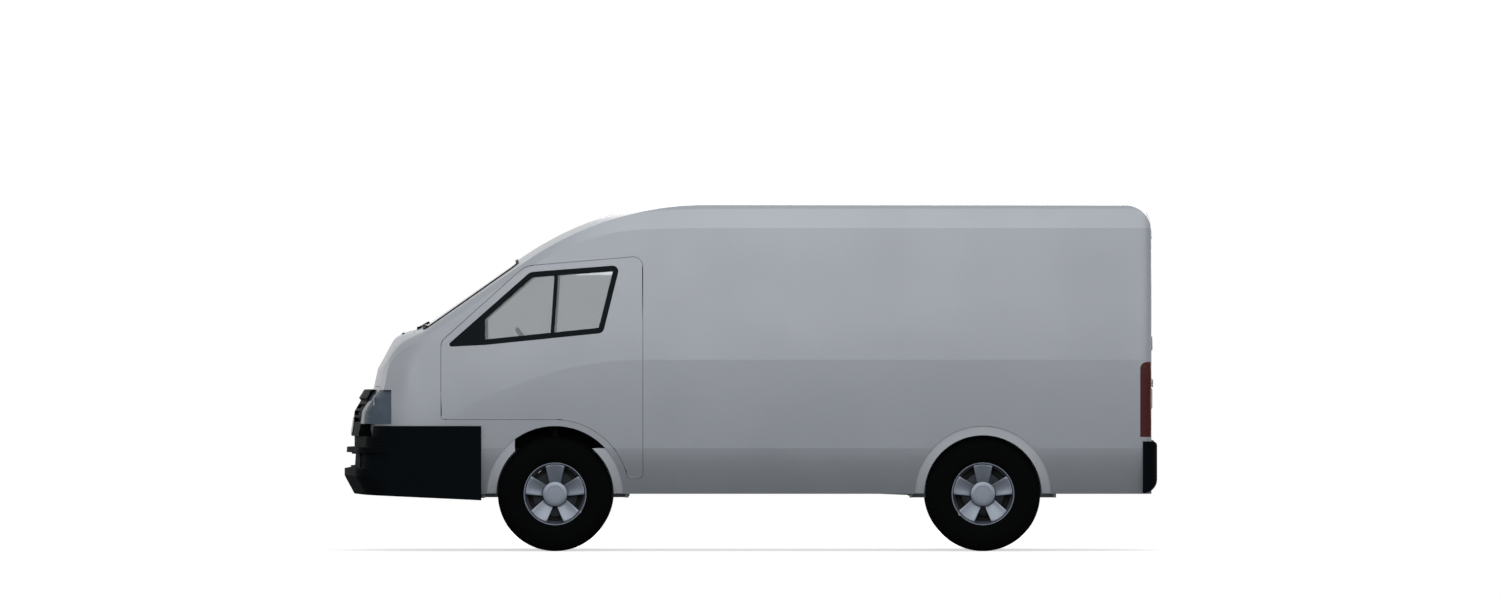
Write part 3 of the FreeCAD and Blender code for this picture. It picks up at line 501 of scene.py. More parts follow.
def turned(name: str, outline: Sequence[Spot], centre: Point, axis: Axis, steps: int = 48) -> Piece:
    """A closed outline of (along, out) spun round an axis, left in edit mode.

    Args:
        name: Name of the piece.
        outline: Corners of the section, as distance along and out from the axis.
        centre: A point on the axis.
        axis: Its direction.
        steps: Facets round it.

    Returns:
        The new piece, still in edit mode.
    """
    clear()
    bpy.ops.mesh.primitive_circle_add(vertices=len(outline), radius=1)
    piece = begin(name)
    mesh = bmesh.from_edit_mesh(piece.data)
    for vert, (along, out) in zip(mesh.verts, outline):
        vert.co = axis.place(centre, along, out)
    bmesh.update_edit_mesh(piece.data)
    bpy.ops.mesh.select_all(action="SELECT")
    bpy.ops.mesh.spin(steps=steps, angle=2 * math.pi, center=centre, axis=axis.value)
    bpy.ops.mesh.select_all(action="SELECT")
    bpy.ops.mesh.remove_doubles(threshold=0.00002)
    bpy.ops.mesh.normals_make_consistent(inside=False)
    return piece


def plate(name: str, corners: Sequence[Point], by: Point) -> Piece:
    """A flat shape of any corners, extruded, left in edit mode."""
    clear()
    bpy.ops.mesh.primitive_circle_add(vertices=len(corners), radius=1, fill_type="NGON")
    piece = begin(name)
    mesh = bmesh.from_edit_mesh(piece.data)
    for vert, corner in zip(mesh.verts, corners):
        vert.co = corner
    bmesh.update_edit_mesh(piece.data)
    bpy.ops.mesh.select_all(action="SELECT")
    push(by)
    bpy.ops.mesh.select_all(action="SELECT")
    bpy.ops.mesh.normals_make_consistent(inside=False)
    return piece


def slab(name: str, low: Point, high: Point, edge: float = 0.0, segments: int = 2) -> Piece:
    """A block between two corners with its edges rounded."""
    clear()
    middle = [(a + b) / 2 for a, b in zip(low, high)]
    bpy.ops.mesh.primitive_cube_add(size=1, location=middle)
    piece = bpy.context.object
    piece.scale = [b - a for a, b in zip(low, high)]
    piece.name = piece.data.name = name
    settle(piece)
    if edge:
        bevel(piece, edge, segments)
    return piece


def pipe(name: str, points: Sequence[Point], radius: float, sides: int = 3, closed: bool = False) -> Piece:
    """A round bar that follows a smooth path."""
    clear()
    data = bpy.data.curves.new(name, "CURVE")
    data.dimensions = "3D"
    spline = data.splines.new("NURBS")
    spline.points.add(len(points) - 1)
    for point, place in zip(spline.points, points):
        point.co = (*place, 1.0)
    spline.order_u = 3
    spline.use_cyclic_u = closed
    spline.use_endpoint_u = not closed
    data.bevel_depth = radius
    data.bevel_resolution = sides
    data.resolution_u = 6
    data.use_fill_caps = True
    piece = bpy.data.objects.new(name, data)
    bpy.context.scene.collection.objects.link(piece)
    only(piece)
    bpy.ops.object.convert(target="MESH")
    piece = bpy.context.object
    piece.name = piece.data.name = name
    bpy.ops.object.mode_set(mode="EDIT")
    tidy(piece)
    return piece


def rounded(corners: Sequence[tuple[float, float, float]], steps: int = 6) -> list[Spot]:
    """A closed outline through corners (a, b, radius), as points.

    Args:
        corners: Each corner and its radius.
        steps: Points on each round.

    Returns:
        The outline's points in order.
    """
    points: list[Spot] = []
    for i, (a, b, radius) in enumerate(corners):
        here = Vector((a, b))
        if not radius:
            points.append((a, b))
            continue
        back = (Vector(corners[i - 1][:2]) - here).normalized()
        ahead = (Vector(corners[(i + 1) % len(corners)][:2]) - here).normalized()
        half = back.angle(ahead) / 2
        reach = radius / math.tan(half)
        centre = here + (back + ahead).normalized() * (radius / math.sin(half))
        start, end = here + back * reach - centre, here + ahead * reach - centre
        for k in range(steps + 1):
            share = k / steps
            spoke = start.normalized().slerp(end.normalized(), share)
            points.append(tuple(centre + spoke * start.length))
    return points


def hit(node: str, origin: Point, way: Point) -> Vector | None:
    """Where a line from a point first meets a CAD node."""
    found, place, _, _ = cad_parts[node].ray_cast(Vector(origin), Vector(way).normalized())
    return place if found else None


def sheet(
    name: str, across: int, along: int, place: Callable[[float, float], Point], by: Point, wrap: bool = False
) -> Piece:
    """A curved plate: a grid laid on a surface and extruded, left in edit mode.

    Args:
        name: Name of the piece.
        across: Facets in the first direction.
        along: Facets in the second direction.
        place: Gives the point for two shares from 0 to 1.
        by: How far the back lies from the face.
        wrap: True where the last row meets the first.

    Returns:
        The new piece, still in edit mode.
    """
    clear()
    bpy.ops.mesh.primitive_grid_add(x_subdivisions=across, y_subdivisions=along, size=1)
    piece = begin(name)
    mesh = bmesh.from_edit_mesh(piece.data)
    for vert in mesh.verts:
        vert.co = place(vert.co.x + 0.5, vert.co.y + 0.5)
    bmesh.update_edit_mesh(piece.data)
    bpy.ops.mesh.select_all(action="SELECT")
    push(by)
    bpy.ops.mesh.select_all(action="SELECT")
    if wrap:
        bpy.ops.mesh.remove_doubles(threshold=0.00005)
    bpy.ops.mesh.normals_make_consistent(inside=False)
    return piece


def turn(piece: Piece, name: str, centre: Point, axis: Axis, degrees: float) -> Piece:
    """A copy turned about an axis."""
    made = copy(piece, name)
    middle = Vector(centre)
    spin = Matrix.Rotation(math.radians(degrees), 4, axis.name)
    made.matrix_world = Matrix.Translation(middle) @ spin @ Matrix.Translation(-middle)
    settle(made)
    return made


def merged(node: str, name: str) -> Piece:
    """A copy of a CAD node's mesh with its loose triangles merged, in edit mode."""
    clear()
    made = bpy.data.objects.new(name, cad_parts[node].data.copy())
    made.data.name = name
    bpy.context.scene.collection.objects.link(made)
    only(made)
    bpy.ops.object.mode_set(mode="EDIT")
    bpy.ops.mesh.select_all(action="SELECT")
    bpy.ops.mesh.remove_doubles(threshold=0.00002)
    return made


def outside(x: float, z: float, side: float, nodes: Sequence[str]) -> float:
    """Distance from the middle plane to the outer skin at a place of the side.

    Args:
        x: Place along the van.
        z: Height.
        side: Minus one on the left, one on the right.
        nodes: CAD nodes to look at.

    Returns:
        The largest distance found.
    """
    spots = (hit(node, (x, side * 2.0, z), (0, -side, 0)) for node in nodes)
    return max((abs(spot.y) for spot in spots if spot), default=0.9)


BODY = "body"
FRONT_X, REAR_X, AXLE_Z, TRACK = -1.169, 1.400, 0.345, 0.790
LEFT_FRONT: Point = (FRONT_X, -TRACK, AXLE_Z)


@dataclass
class Wheels:
    """Four wheels: modelled once at the front left, then copied and mirrored.

    Distances along the axle count outwards from the middle of the tyre.
    """

    tread_half: float = 0.076
    base_r: float = 0.3375
    block: float = 0.0068
    steps: int = 180
    disc_r: float = 0.136
    shield_r: float = 0.1610
    hub_r: float = 0.0735
    spokes: int = 5
    spoke_in_r: float = 0.060
    spoke_out_r: float = 0.1770
    spoke_in_half: float = 0.0312
    spoke_out_half: float = 0.0575
    spoke_root: float = 0.046
    spoke_tip: float = 0.0745
    spoke_thick: float = 0.013

    def casing_section(self) -> list[Spot]:
        """Outline of the casing, from the inner bead over the tread and back."""
        wall = [
            (0.0800, 0.1900),
            (0.0870, 0.1905),
            (0.0900, 0.1960),
            (0.0905, 0.2030),
            (0.0935, 0.2050),
            (0.0955, 0.2150),
            (0.0970, 0.2350),
            (0.0974, 0.2530),
            (0.0970, 0.2700),
            (0.0958, 0.2760),
            (0.0964, 0.2780),
            (0.0958, 0.2860),
            (0.0946, 0.2880),
            (0.0925, 0.3020),
            (0.0885, 0.3150),
            (0.0840, 0.3250),
            (0.0800, 0.3310),
        ]
        edges = (0.076, 0.051, 0.044, 0.018, 0.011)
        crown = [(y, self.base_r - 0.003 * (y / self.tread_half) ** 2) for y in edges]
        half = wall + crown
        return [(-y, r) for y, r in half] + [(y, r) for y, r in reversed(half)]

    def tyre(self) -> Piece:
        """Casing spun round the axle, with tread blocks pushed out of its crown."""
        piece = turned("tread_tyre_front_left", self.casing_section(), LEFT_FRONT, Axis.Y, self.steps)
        x, y, z = LEFT_FRONT
        slot = 2 * math.pi / self.steps

        def on_block(middle: Vector, normal: Vector) -> bool:
            across = abs(middle.y - y)
            out = math.hypot(middle.x - x, middle.z - z)
            if out < self.base_r - 0.0045 or across > 0.0765:
                return False
            count = int(math.floor(math.atan2(middle.z - z, middle.x - x) / slot + 1000))
            if across < 0.011:
                return True
            if 0.018 < across < 0.044:
                return (count + (2 if middle.y > y else 0)) % 5 != 0
            if 0.051 < across:
                return (count + (1 if middle.y > y else 3)) % 4 != 0
            return False

        pick(piece, on_block)
        bpy.ops.mesh.extrude_region_shrink_fatten(TRANSFORM_OT_shrink_fatten={"value": self.block})
        tidy(piece)
        return piece

    def barrel(self) -> Piece:
        """Rim with its rolled outer lip, its drop centre and its inner flange."""
        section = [
            (0.0790, 0.1885),
            (0.0840, 0.1888),
            (0.0862, 0.1872),
            (0.0862, 0.1838),
            (0.0835, 0.1815),
            (0.0770, 0.1800),
            (0.0640, 0.1780),
            (0.0380, 0.1760),
            (0.0150, 0.1690),
            (0.0060, 0.1630),
            (-0.0340, 0.1630),
            (-0.0460, 0.1730),
            (-0.0790, 0.1780),
            (-0.0838, 0.1820),
            (-0.0838, 0.1885),
            (-0.0760, 0.1885),
            (-0.0500, 0.1840),
            (-0.0380, 0.1690),
            (0.0080, 0.1690),
            (0.0220, 0.1840),
        ]
        piece = turned("rim_barrel", [(-a, r) for a, r in section], LEFT_FRONT, Axis.Y, 96)
        tidy(piece)
        return piece

    def spoke(self) -> Piece:
        """One dished spoke pointing up, wider at the rim, hollowed along its middle."""
        x, y, z = LEFT_FRONT

        def place(across: float, along: float) -> Point:
            side = 2 * across - 1
            out = self.spoke_in_r + (self.spoke_out_r - self.spoke_in_r) * along
            half = self.spoke_in_half + (self.spoke_out_half - self.spoke_in_half) * along
            rise = self.spoke_root + (self.spoke_tip - self.spoke_root) * (1 - (1 - along) ** 1.7)
            dip = 0.0045 * (1 - side**2) * math.sin(math.pi * along) ** 0.5
            chord = half * side
            return x + chord, y - rise + dip, z + math.sqrt(max(out**2 - chord**2, 0.0001))

        piece = sheet("spoke", 8, 10, place, (0, self.spoke_thick, 0))
        tidy(piece)
        bevel(piece, 0.0028, 2, 50)
        return piece

    def rim(self) -> Piece:
        """Barrel, five spokes and hub as one casting."""
        spoke = self.spoke()
        parts = [self.barrel(), spoke]
        parts += [
            turn(spoke, f"spoke_{i}", LEFT_FRONT, Axis.Y, 360 / self.spokes * i) for i in range(1, self.spokes)
        ]
        hub = turned(
            "hub",
            [(-0.036, 0.0303), (-0.036, 0.066), (-0.060, 0.066), (-0.060, 0.0303)],
            LEFT_FRONT,
            Axis.Y,
            60,
        )
        tidy(hub)
        parts.append(hub)
        piece = join(parts[0], parts[1:])
        piece.name = piece.data.name = "rim_cast_front_left"
        return piece

    def cap(self) -> Piece:
        """Flat hub cap with a rolled edge and a shallow ring round its middle."""
        section = [
            (-0.0612, 0.0),
            (-0.0612, 0.0460),
            (-0.0600, 0.0475),
            (-0.0600, self.hub_r - 0.002),
            (-0.0680, self.hub_r),
            (-0.0705, self.hub_r - 0.0012),
            (-0.0720, self.hub_r - 0.0040),
            (-0.0722, 0.0480),
            (-0.0712, 0.0465),
            (-0.0712, 0.0445),
            (-0.0724, 0.0430),
            (-0.0730, 0.0),
        ]
        piece = turned("hub_cap_front_left", section, LEFT_FRONT, Axis.Y, 96)
        tidy(piece)
        return piece

    def valve(self) -> Piece:
        """Rubber valve stem in the rim."""
        x, y, z = LEFT_FRONT
        away = math.radians(234)

        def at(out: float, along: float) -> Point:
            return x + out * math.cos(away), y - along, z + out * math.sin(away)

        return pipe("valve_front_left", [at(0.166, 0.016), at(0.163, 0.048), at(0.160, 0.060)], 0.0038)

    def disc(self) -> Piece:
        """Ventilated brake disc with its hat."""
        r = self.disc_r
        section = [
            (-0.0355, 0.034),
            (-0.0355, 0.072),
            (-0.0100, 0.076),
            (-0.0100, r),
            (-0.0030, r),
            (-0.0030, r - 0.03),
            (0.0030, r - 0.03),
            (0.0030, r),
            (0.0100, r),
            (0.0100, 0.070),
            (-0.0310, 0.066),
            (-0.0310, 0.034),
        ]
        piece = turned("brake_disc_left", section, LEFT_FRONT, Axis.Y, 72)
        tidy(piece)
        bevel(piece, 0.001, 1)
        return piece

    def drum(self) -> Piece:
        """Finned brake drum of the rear wheels, modelled at the front left."""
        section = [
            (-0.0355, 0.034),
            (-0.0355, 0.118),
            (-0.0330, 0.128),
            (-0.0180, 0.130),
            (-0.0160, 0.135),
            (-0.0080, 0.135),
            (-0.0060, 0.130),
            (0.0120, 0.130),
            (0.0140, 0.136),
            (0.0220, 0.136),
            (0.0220, 0.122),
            (-0.0280, 0.114),
            (-0.0280, 0.034),
        ]
        piece = turned("brake_drum_left", section, LEFT_FRONT, Axis.Y, 72)
        tidy(piece)
        bevel(piece, 0.001, 1)
        return piece

    def shield(self) -> Piece:
        """Pressed dust shield behind the brake, fixed to knuckle or axle."""
        section = [
            (0.0275, 0.031),
            (0.0275, 0.090),
            (0.0235, 0.105),
            (0.0235, self.shield_r - 0.003),
            (0.0255, self.shield_r),
            (0.0285, self.shield_r),
            (0.0300, self.shield_r - 0.004),
            (0.0300, 0.105),
            (0.0300, 0.031),
        ]
        piece = turned("dust_shield_front_left", section, LEFT_FRONT, Axis.Y, 96)
        tidy(piece)
        return piece

    def build(self) -> None:
        """Makes the first wheel and copies it to the other three places."""
        firsts = {
            "tread_tyre": (self.tyre(), RUBBER, "tyre_rubber", 28.0),
            "rim_cast": (self.rim(), ALLOY, "alloy", 35.0),
            "hub_cap": (self.cap(), HUB, "alloy", 30.0),
            "valve": (self.valve(), RUBBER, "tyre_rubber", 40.0),
            "dust_shield": (self.shield(), CHASSIS, "painted_steel", 30.0),
        }
        disc, drum = self.disc(), self.drum()
        for place, side in (("rear", "left"), ("front", "right"), ("rear", "right"), ("front", "left")):
            shift = (REAR_X - FRONT_X if place == "rear" else 0.0, 0.0, 0.0)
            flip = side == "right"
            tail = f"{place}_{side}"
            spin = f"wheel_{tail}"
            carrier = f"knuckle_{side}" if place == "front" else BODY
            first = tail == "front_left"
            for name, (piece, look, slot, smooth) in firsts.items():
                made = piece if first else copy(piece, f"{name}_{tail}", shift, flip)
                stands = {"tread_tyre": [f"tyre_{tail}"], "rim_cast": [f"rim_{tail}"]}.get(name, [])
                finish(made, carrier if name == "dust_shield" else spin, look, slot, smooth, stands)
            if place == "front":
                brake = disc if first else copy(disc, f"brake_disc_{side}", shift, flip)
            else:
                brake = copy(drum, f"brake_drum_{side}_rear", shift, flip)
            finish(brake, spin, BRAKE_PAINTED_SHADE, "cast_block", 30)
        bpy.data.objects.remove(drum)


@dataclass
class Arches:
    """Pressed rings inside the wheel arches, 8 mm behind the skin, in primer whose pale colour is painted light, so
    that they look lit in the arch's shade.
    """

    in_r: float = 0.3525
    out_r: float = 0.4080
    back: float = 0.008
    thick: float = 0.004
    low_z: float = 0.345
    liner_low_z: float = 0.618
    liner_front_x: float = -1.409
    nodes: tuple[str, ...] = ("front_frame", "door_panel_left", "side_panel_left")

    def skin(self, x: float, z: float) -> float:
        """Outer skin just outside the arch edge, on the left side."""
        return outside(x, z, -1.0, self.nodes)

    def ring(self, name: str, centre_x: float, inner: Spot, outer: Spot, steps: int) -> Piece:
        """Part of a ring between two pairs of angles, on the left side."""

        def place(across: float, along: float) -> Point:
            low, high = (a + (b - a) * across for a, b in ((inner[0], outer[0]), (inner[1], outer[1])))
            angle = math.radians(low + (high - low) * along)
            out = self.in_r + (self.out_r - self.in_r) * across
            edge = self.out_r + 0.004
            skin = self.skin(centre_x + edge * math.cos(angle), AXLE_Z + edge * math.sin(angle))
            return centre_x + out * math.cos(angle), -(skin - self.back), AXLE_Z + out * math.sin(angle)

        piece = sheet(name, 2, steps, place, (0, self.thick, 0))
        tidy(piece)
        return piece

    def angles(self, radius: float) -> tuple[float, float]:
        """Where the liner's front plane and lower plane cut a circle, in degrees."""
        front = math.degrees(math.acos((self.liner_front_x - FRONT_X) / radius))
        rear = math.degrees(math.asin((self.liner_low_z - AXLE_Z) / radius))
        return rear, front

    def build(self) -> None:
        """Makes the rings of all four arches."""
        start = 0.4
        rear_in, front_in = self.angles(self.in_r)
        rear_out, front_out = self.angles(self.out_r)
        rings = [
            self.ring("arch_ring_rear", REAR_X, (start, 180 - start), (start, 180 - start), 72),
            self.ring("arch_ring_door", FRONT_X, (start, rear_in), (start, rear_out), 24),
            self.ring("arch_ring_wing", FRONT_X, (front_in, 180 - start), (front_out, 180 - start), 24),
        ]
        for first in rings:
            other = copy(first, f"{first.name}_right", (0, 0, 0), True)
            whole = join(first, [other])
            finish(whole, BODY, ARCH_PAINTED_LIGHT, "painted_steel")


@dataclass
class ShutLines:
    """Folded edges that narrow the gap round both front doors, the bonnet and the tailgate.

    The paint shop's panels meet at about 2 mm, so each gap hardly shows.
    """

    thick: float = 0.0034
    window_middle: dict[str, Point] = field(
        default_factory=lambda: {
            "door_panel_left": (-1.25, -0.9, 1.46),
            "door_panel_right": (-1.25, 0.9, 1.46),
            "tailgate": (2.41, 0.0, 1.525),
        }
    )

    def edge(self, node: str, body: str, test: Callable[[Vector, Vector], bool]) -> None:
        """Keeps a node's edge faces and gives them thickness outwards."""
        piece = merged(node, f"folded_edge_{node}")
        pick(piece, lambda c, n: not test(c, n))
        bpy.ops.mesh.delete(type="FACE")
        bpy.ops.mesh.select_all(action="SELECT")
        bpy.ops.mesh.dissolve_limited(angle_limit=math.radians(0.5))
        bpy.ops.object.mode_set(mode="OBJECT")
        modify(piece, "SOLIDIFY", thickness=self.thick, offset=1.0, use_even_offset=True)
        finish(piece, body, PAINT, "body_paint", 40)

    def build(self) -> None:
        """Makes the edges of both front doors, the tailgate and the bonnet."""
        for side, sign in (("left", -1.0), ("right", 1.0)):
            middle = Vector(self.window_middle[f"door_panel_{side}"])

            def on_door(c: Vector, n: Vector) -> bool:
                if abs(n.y) > 0.30:
                    return False
                by_window = -1.815 < c.x < -0.775 and 1.215 < c.z < 1.725
                return not (by_window and n.dot(middle - c) > 0)

            self.edge(f"door_panel_{side}", f"door_{side}", on_door)

        gate_window = Vector(self.window_middle["tailgate"])

        def on_gate(c: Vector, n: Vector) -> bool:
            if abs(n.x) > 0.30:
                return False
            by_window = abs(c.y) < 0.65 and 1.24 < c.z < 1.81
            return not (by_window and n.dot(gate_window - c) > 0)

        self.edge("tailgate", "tailgate", on_gate)

        def on_bonnet(c: Vector, n: Vector) -> bool:
            if n.z < -0.99:
                return True
            return abs(n.z) < 0.03 and (abs(n.y) > 0.3 or c.x > -2.03)

        self.edge("bonnet", "bonnet", on_bonnet)


@dataclass
class Headlamps:
    """Grey bezels with bored reflectors behind the clear lenses."""

    shrink: float = 0.93
    back: float = 0.012
    bowls: tuple[tuple[float, float, float], ...] = ((-0.735, 0.872, 0.058), (-0.640, 0.856, 0.040))
    rim_x: float = -2.262
    depth: float = 0.055

    def bezel(self) -> Piece:
        """A smaller copy of the left lens, moved back behind it."""
        piece = merged("headlamps", "lamp_bezels")
        pick(piece, lambda c, n: c.y > 0)
        bpy.ops.mesh.delete(type="FACE")
        bpy.ops.mesh.select_all(action="SELECT")
        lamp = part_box("headlamps")
        centre = (lamp[1][0], -0.70, (lamp[0][2] + lamp[1][2]) / 2)
        grow((self.shrink, self.shrink, self.shrink), centre)
        bpy.ops.transform.translate(value=(self.back * 0.6, 0, 0))
        tidy(piece)
        for y, z, radius in self.bowls:
            self.bore(piece, y, z, radius)
        return piece

    def bore(self, piece: Piece, y: float, z: float, radius: float) -> None:
        """Cuts a round hole along X through a piece."""
        clear()
        bpy.ops.mesh.primitive_cylinder_add(
            vertices=48, radius=radius, depth=0.3, location=(-2.30, y, z), rotation=(0, math.pi / 2, 0)
        )
        tool = bpy.context.object
        settle(tool)
        modify(piece, "BOOLEAN", operation="DIFFERENCE", object=tool, solver="EXACT")
        bpy.data.objects.remove(tool)

    def bowl(self, y: float, z: float, radius: float) -> Piece:
        """A parabolic reflector open to the front."""
        ring = [(k / 8 * (radius - 0.001)) for k in range(9)]
        inner = [(self.depth * (1 - (r / radius) ** 2), r) for r in ring]
        outer = [(a + 0.002, r) for a, r in reversed(inner)]
        piece = turned(f"bowl_{y:.3f}", inner + outer, (self.rim_x, y, z), Axis.X, 40)
        tidy(piece)
        return piece

    def bulb(self, y: float, z: float) -> Piece:
        """Glass bulb with its cap in the middle of a reflector."""
        section = [(0.054, 0.0), (0.054, 0.009), (0.040, 0.009), (0.034, 0.006), (0.018, 0.006), (0.013, 0.0)]
        piece = turned(f"bulb_{y:.3f}", section, (self.rim_x, y, z), Axis.X, 20)
        tidy(piece)
        return piece

    def build(self) -> None:
        """Makes both lamps' insides."""
        bezel = self.bezel()
        bowls = [self.bowl(*spot) for spot in self.bowls]
        bulbs = [self.bulb(y, z) for y, z, _ in self.bowls]
        chrome = join(bowls[0], bowls[1:])
        lights = join(bulbs[0], bulbs[1:])
        for first, name, look in (
            (bezel, "lamp_bezels", BEZEL),
            (chrome, "lamp_reflectors", CHROME),
            (lights, "lamp_bulbs", STEEL),
        ):
            other = copy(first, f"{name}_right", (0, 0, 0), True)
            whole = join(first, [other])
            whole.name = whole.data.name = name
            finish(whole, BODY, look, "lamp_lens", 30)


@dataclass
class Wipers:
    """Two front wipers that rest low over the black band of the screen's foot."""

    pivots: tuple[float, float] = (-0.30, 0.34)
    arm_r: float = 0.0045
    reach: float = 0.42
    foot_x: float = -1.990

    def on_screen(self, x: float, y: float, lift: float) -> Point:
        """A point this far above the windscreen or the nose."""
        spots = (hit(node, (x, y, 2.5), (0, 0, -1)) for node in ("windscreen", "screen_seal", "front_frame"))
        height = max((spot.z for spot in spots if spot), default=1.33)
        return x, y, height + lift

    def build(self) -> None:
        """Makes arms, blades and pivots."""
        arms: list[Piece] = []
        rubbers: list[Piece] = []
        for i, y in enumerate(self.pivots):
            foot = self.on_screen(self.foot_x, y, 0.001)
            rise = (foot[0], foot[1], foot[2] + 0.012)
            mid = self.on_screen(self.foot_x + 0.032, y - self.reach * 0.45, 0.012)
            tip = self.on_screen(self.foot_x + 0.050, y - self.reach * 0.75, 0.009)
            arms.append(pipe(f"wiper_arm_{i}", [foot, rise, mid, tip], self.arm_r))
            knob = turned(
                f"wiper_pivot_{i}",
                [(-0.010, 0.0), (-0.010, 0.016), (0.008, 0.015), (0.013, 0.010), (0.013, 0.0)],
                foot,
                Axis.Z,
                24,
            )
            tidy(knob)
            arms.append(knob)
            shares = (0.0, 0.25, 0.5, 0.75, 1.0)
            low = [self.on_screen(self.foot_x + 0.040 + 0.014 * t, y - self.reach * (0.42 + 0.66 * t), 0.006) for t in shares]
            rubbers.append(pipe(f"wiper_blade_{i}", low, 0.0050))
        arm = join(arms[0], arms[1:])
        arm.name = arm.data.name = "wiper_arms"
        finish(arm, BODY, FRAME_BLACK, "dark_plastic")
        blade = join(rubbers[0], rubbers[1:])
        blade.name = blade.data.name = "wiper_blades"
        finish(blade, BODY, SEAL, "dark_plastic")


@dataclass
class ScreenGasket:
    """Rubber gasket round the windscreen, 7 mm proud, so that it shows from the side."""

    proud: float = 0.007

    def build(self) -> None:
        """Thickens the faces of the CAD seal that look outwards."""
        piece = merged("screen_seal", "screen_gasket")
        out = Vector((-0.57, 0.0, 0.82))
        pick(piece, lambda c, n: n.dot(out) < 0.75)
        bpy.ops.mesh.delete(type="FACE")
        bpy.ops.object.mode_set(mode="OBJECT")
        modify(piece, "SOLIDIFY", thickness=self.proud, offset=1.0, use_even_offset=True)
        bevel(piece, 0.002, 2, 50)
        finish(piece, BODY, SEAL, "dark_plastic", 40)


def frontal(y: float, z: float, from_x: float, nodes: Sequence[str]) -> float:
    """Place along X where a line along the van first meets one of the nodes."""
    way = 1.0 if from_x < 0 else -1.0
    spots = [hit(node, (from_x, y, z), (way, 0, 0)) for node in nodes]
    found = [spot.x for spot in spots if spot]
    return (min(found) if way > 0 else max(found)) if found else 0.0


@dataclass
class NosePieces:
    """Fog lamps, blank plate, grille cheeks and washer jets at the front."""

    fog_y: float = 0.70
    fog_z: float = 0.545
    fog_r: float = 0.044
    plate_half: float = 0.230
    plate_low: float = 0.704
    plate_high: float = 0.794

    def fog_lamps(self) -> None:
        """Round fog lamps with a dark ring, a bowl and a clear cover."""
        rings: list[Piece] = []
        bowls: list[Piece] = []
        covers: list[Piece] = []
        for sign in (-1.0, 1.0):
            y, z = sign * self.fog_y, self.fog_z
            x = frontal(y, z, -3.0, ["front_bumper"])
            r = self.fog_r
            section = [(0.004, r), (-0.006, r + 0.002), (-0.006, r + 0.009), (0.004, r + 0.012), (0.030, r + 0.012), (0.030, r)]
            ring = turned(f"fog_ring_{sign:.0f}", section, (x, y, z), Axis.X, 40)
            tidy(ring)
            rings.append(ring)
            bowl = turned(
                f"fog_bowl_{sign:.0f}",
                [(0.0280, 0.0), (0.0240, 0.020), (0.0120, 0.036), (-0.001, r), (0.0005, r), (0.0140, 0.037), (0.0290, 0.019), (0.0310, 0.0)],
                (x, y, z),
                Axis.X,
                40,
            )
            tidy(bowl)
            bowls.append(bowl)
            cover = turned(
                f"fog_cover_{sign:.0f}",
                [(-0.0075, 0.0), (-0.0060, 0.026), (-0.0025, r), (-0.0005, r), (-0.0035, 0.026), (-0.0050, 0.0)],
                (x, y, z),
                Axis.X,
                40,
            )
            tidy(cover)
            covers.append(cover)
        for group, name, look, kind in (
            (rings, "fog_lamp_rings", FRAME_BLACK, "dark_plastic"),
            (bowls, "fog_lamp_bowls", CHROME, "lamp_lens"),
            (covers, "fog_lamp_covers", LENS, "lamp_lens"),
        ):
            piece = join(group[0], group[1:])
            piece.name = piece.data.name = name
            finish(piece, BODY, look, kind, 30)

    def plates(self) -> None:
        """Blank front plate on its holder, hung on the grille and bowed with it."""
        foot = frontal(0.0, self.plate_low, -3.0, ["grille"])

        def layer(name: str, margin: float, proud: float, depth: float) -> Piece:
            """One bowed sheet with this margin round the plate."""
            half = self.plate_half + margin
            low, high = self.plate_low - margin, self.plate_high + margin

            def place(across: float, along: float) -> Point:
                y = half * (2 * across - 1)
                z = low + (high - low) * along
                return foot - proud + 0.14 * (z - self.plate_low) + 0.19 * y * y, y, z

            piece = sheet(name, 12, 3, place, (depth, 0, 0))
            tidy(piece)
            return piece

        holder = layer("front_plate_holder", 0.005, 0.0040, 0.0035)
        bevel(holder, 0.0010, 2, 50)
        finish(holder, BODY, FRAME_BLACK, "dark_plastic")
        face = layer("front_plate_blank", 0.0, 0.0056, 0.0017)
        bevel(face, 0.0005, 1, 50)
        finish(face, BODY, BLANK, "body_paint")

    def cheeks(self) -> None:
        """Black fins that close the grille's slats at both ends."""
        spots: list[Spot] = []
        for k in range(30):
            z = 0.70 + 0.26 * k / 29
            x = frontal(0.55, z, -3.0, ["grille"])
            if x < -2.2:
                spots.append((z, x))
        middle = sum(a for a, _ in spots) / len(spots)
        level = sum(b for _, b in spots) / len(spots)
        slope = sum((a - middle) * (b - level) for a, b in spots) / sum((a - middle) ** 2 for a, _ in spots)
        made: list[Piece] = []
        for sign in (-1.0, 1.0):

            def place(across: float, along: float) -> Point:
                z = 0.70 + 0.262 * across
                return level + slope * (z - middle) + 0.006 + 0.07 * along, sign * 0.571, z

            fin = sheet(f"cheek_{sign:.0f}", 8, 2, place, (0, -sign * 0.004, 0))
            tidy(fin)
            made.append(fin)
        piece = join(made[0], made[1:])
        piece.name = piece.data.name = "grille_cheeks"
        finish(piece, BODY, GLOSS_BLACK, "dark_plastic")

    def jets(self) -> None:
        """Two washer jets on the bonnet."""
        made: list[Piece] = []
        for y in (-0.28, 0.28):
            spot = hit("bonnet", (-2.085, y, 2.5), (0, 0, -1)) or Vector((-2.085, y, 1.30))
            jet = turned(
                f"jet_{y:.2f}",
                [(-0.004, 0.0), (-0.004, 0.011), (0.002, 0.011), (0.006, 0.008), (0.007, 0.0)],
                tuple(spot),
                Axis.Z,
                20,
            )
            tidy(jet)
            made.append(jet)
        piece = join(made[0], made[1:])
        piece.name = piece.data.name = "washer_jets"
        finish(piece, "bonnet", FRAME_BLACK, "dark_plastic")

    def build(self) -> None:
        """Makes the small pieces of the nose."""
        self.fog_lamps()
        self.plates()
        self.cheeks()
        self.jets()


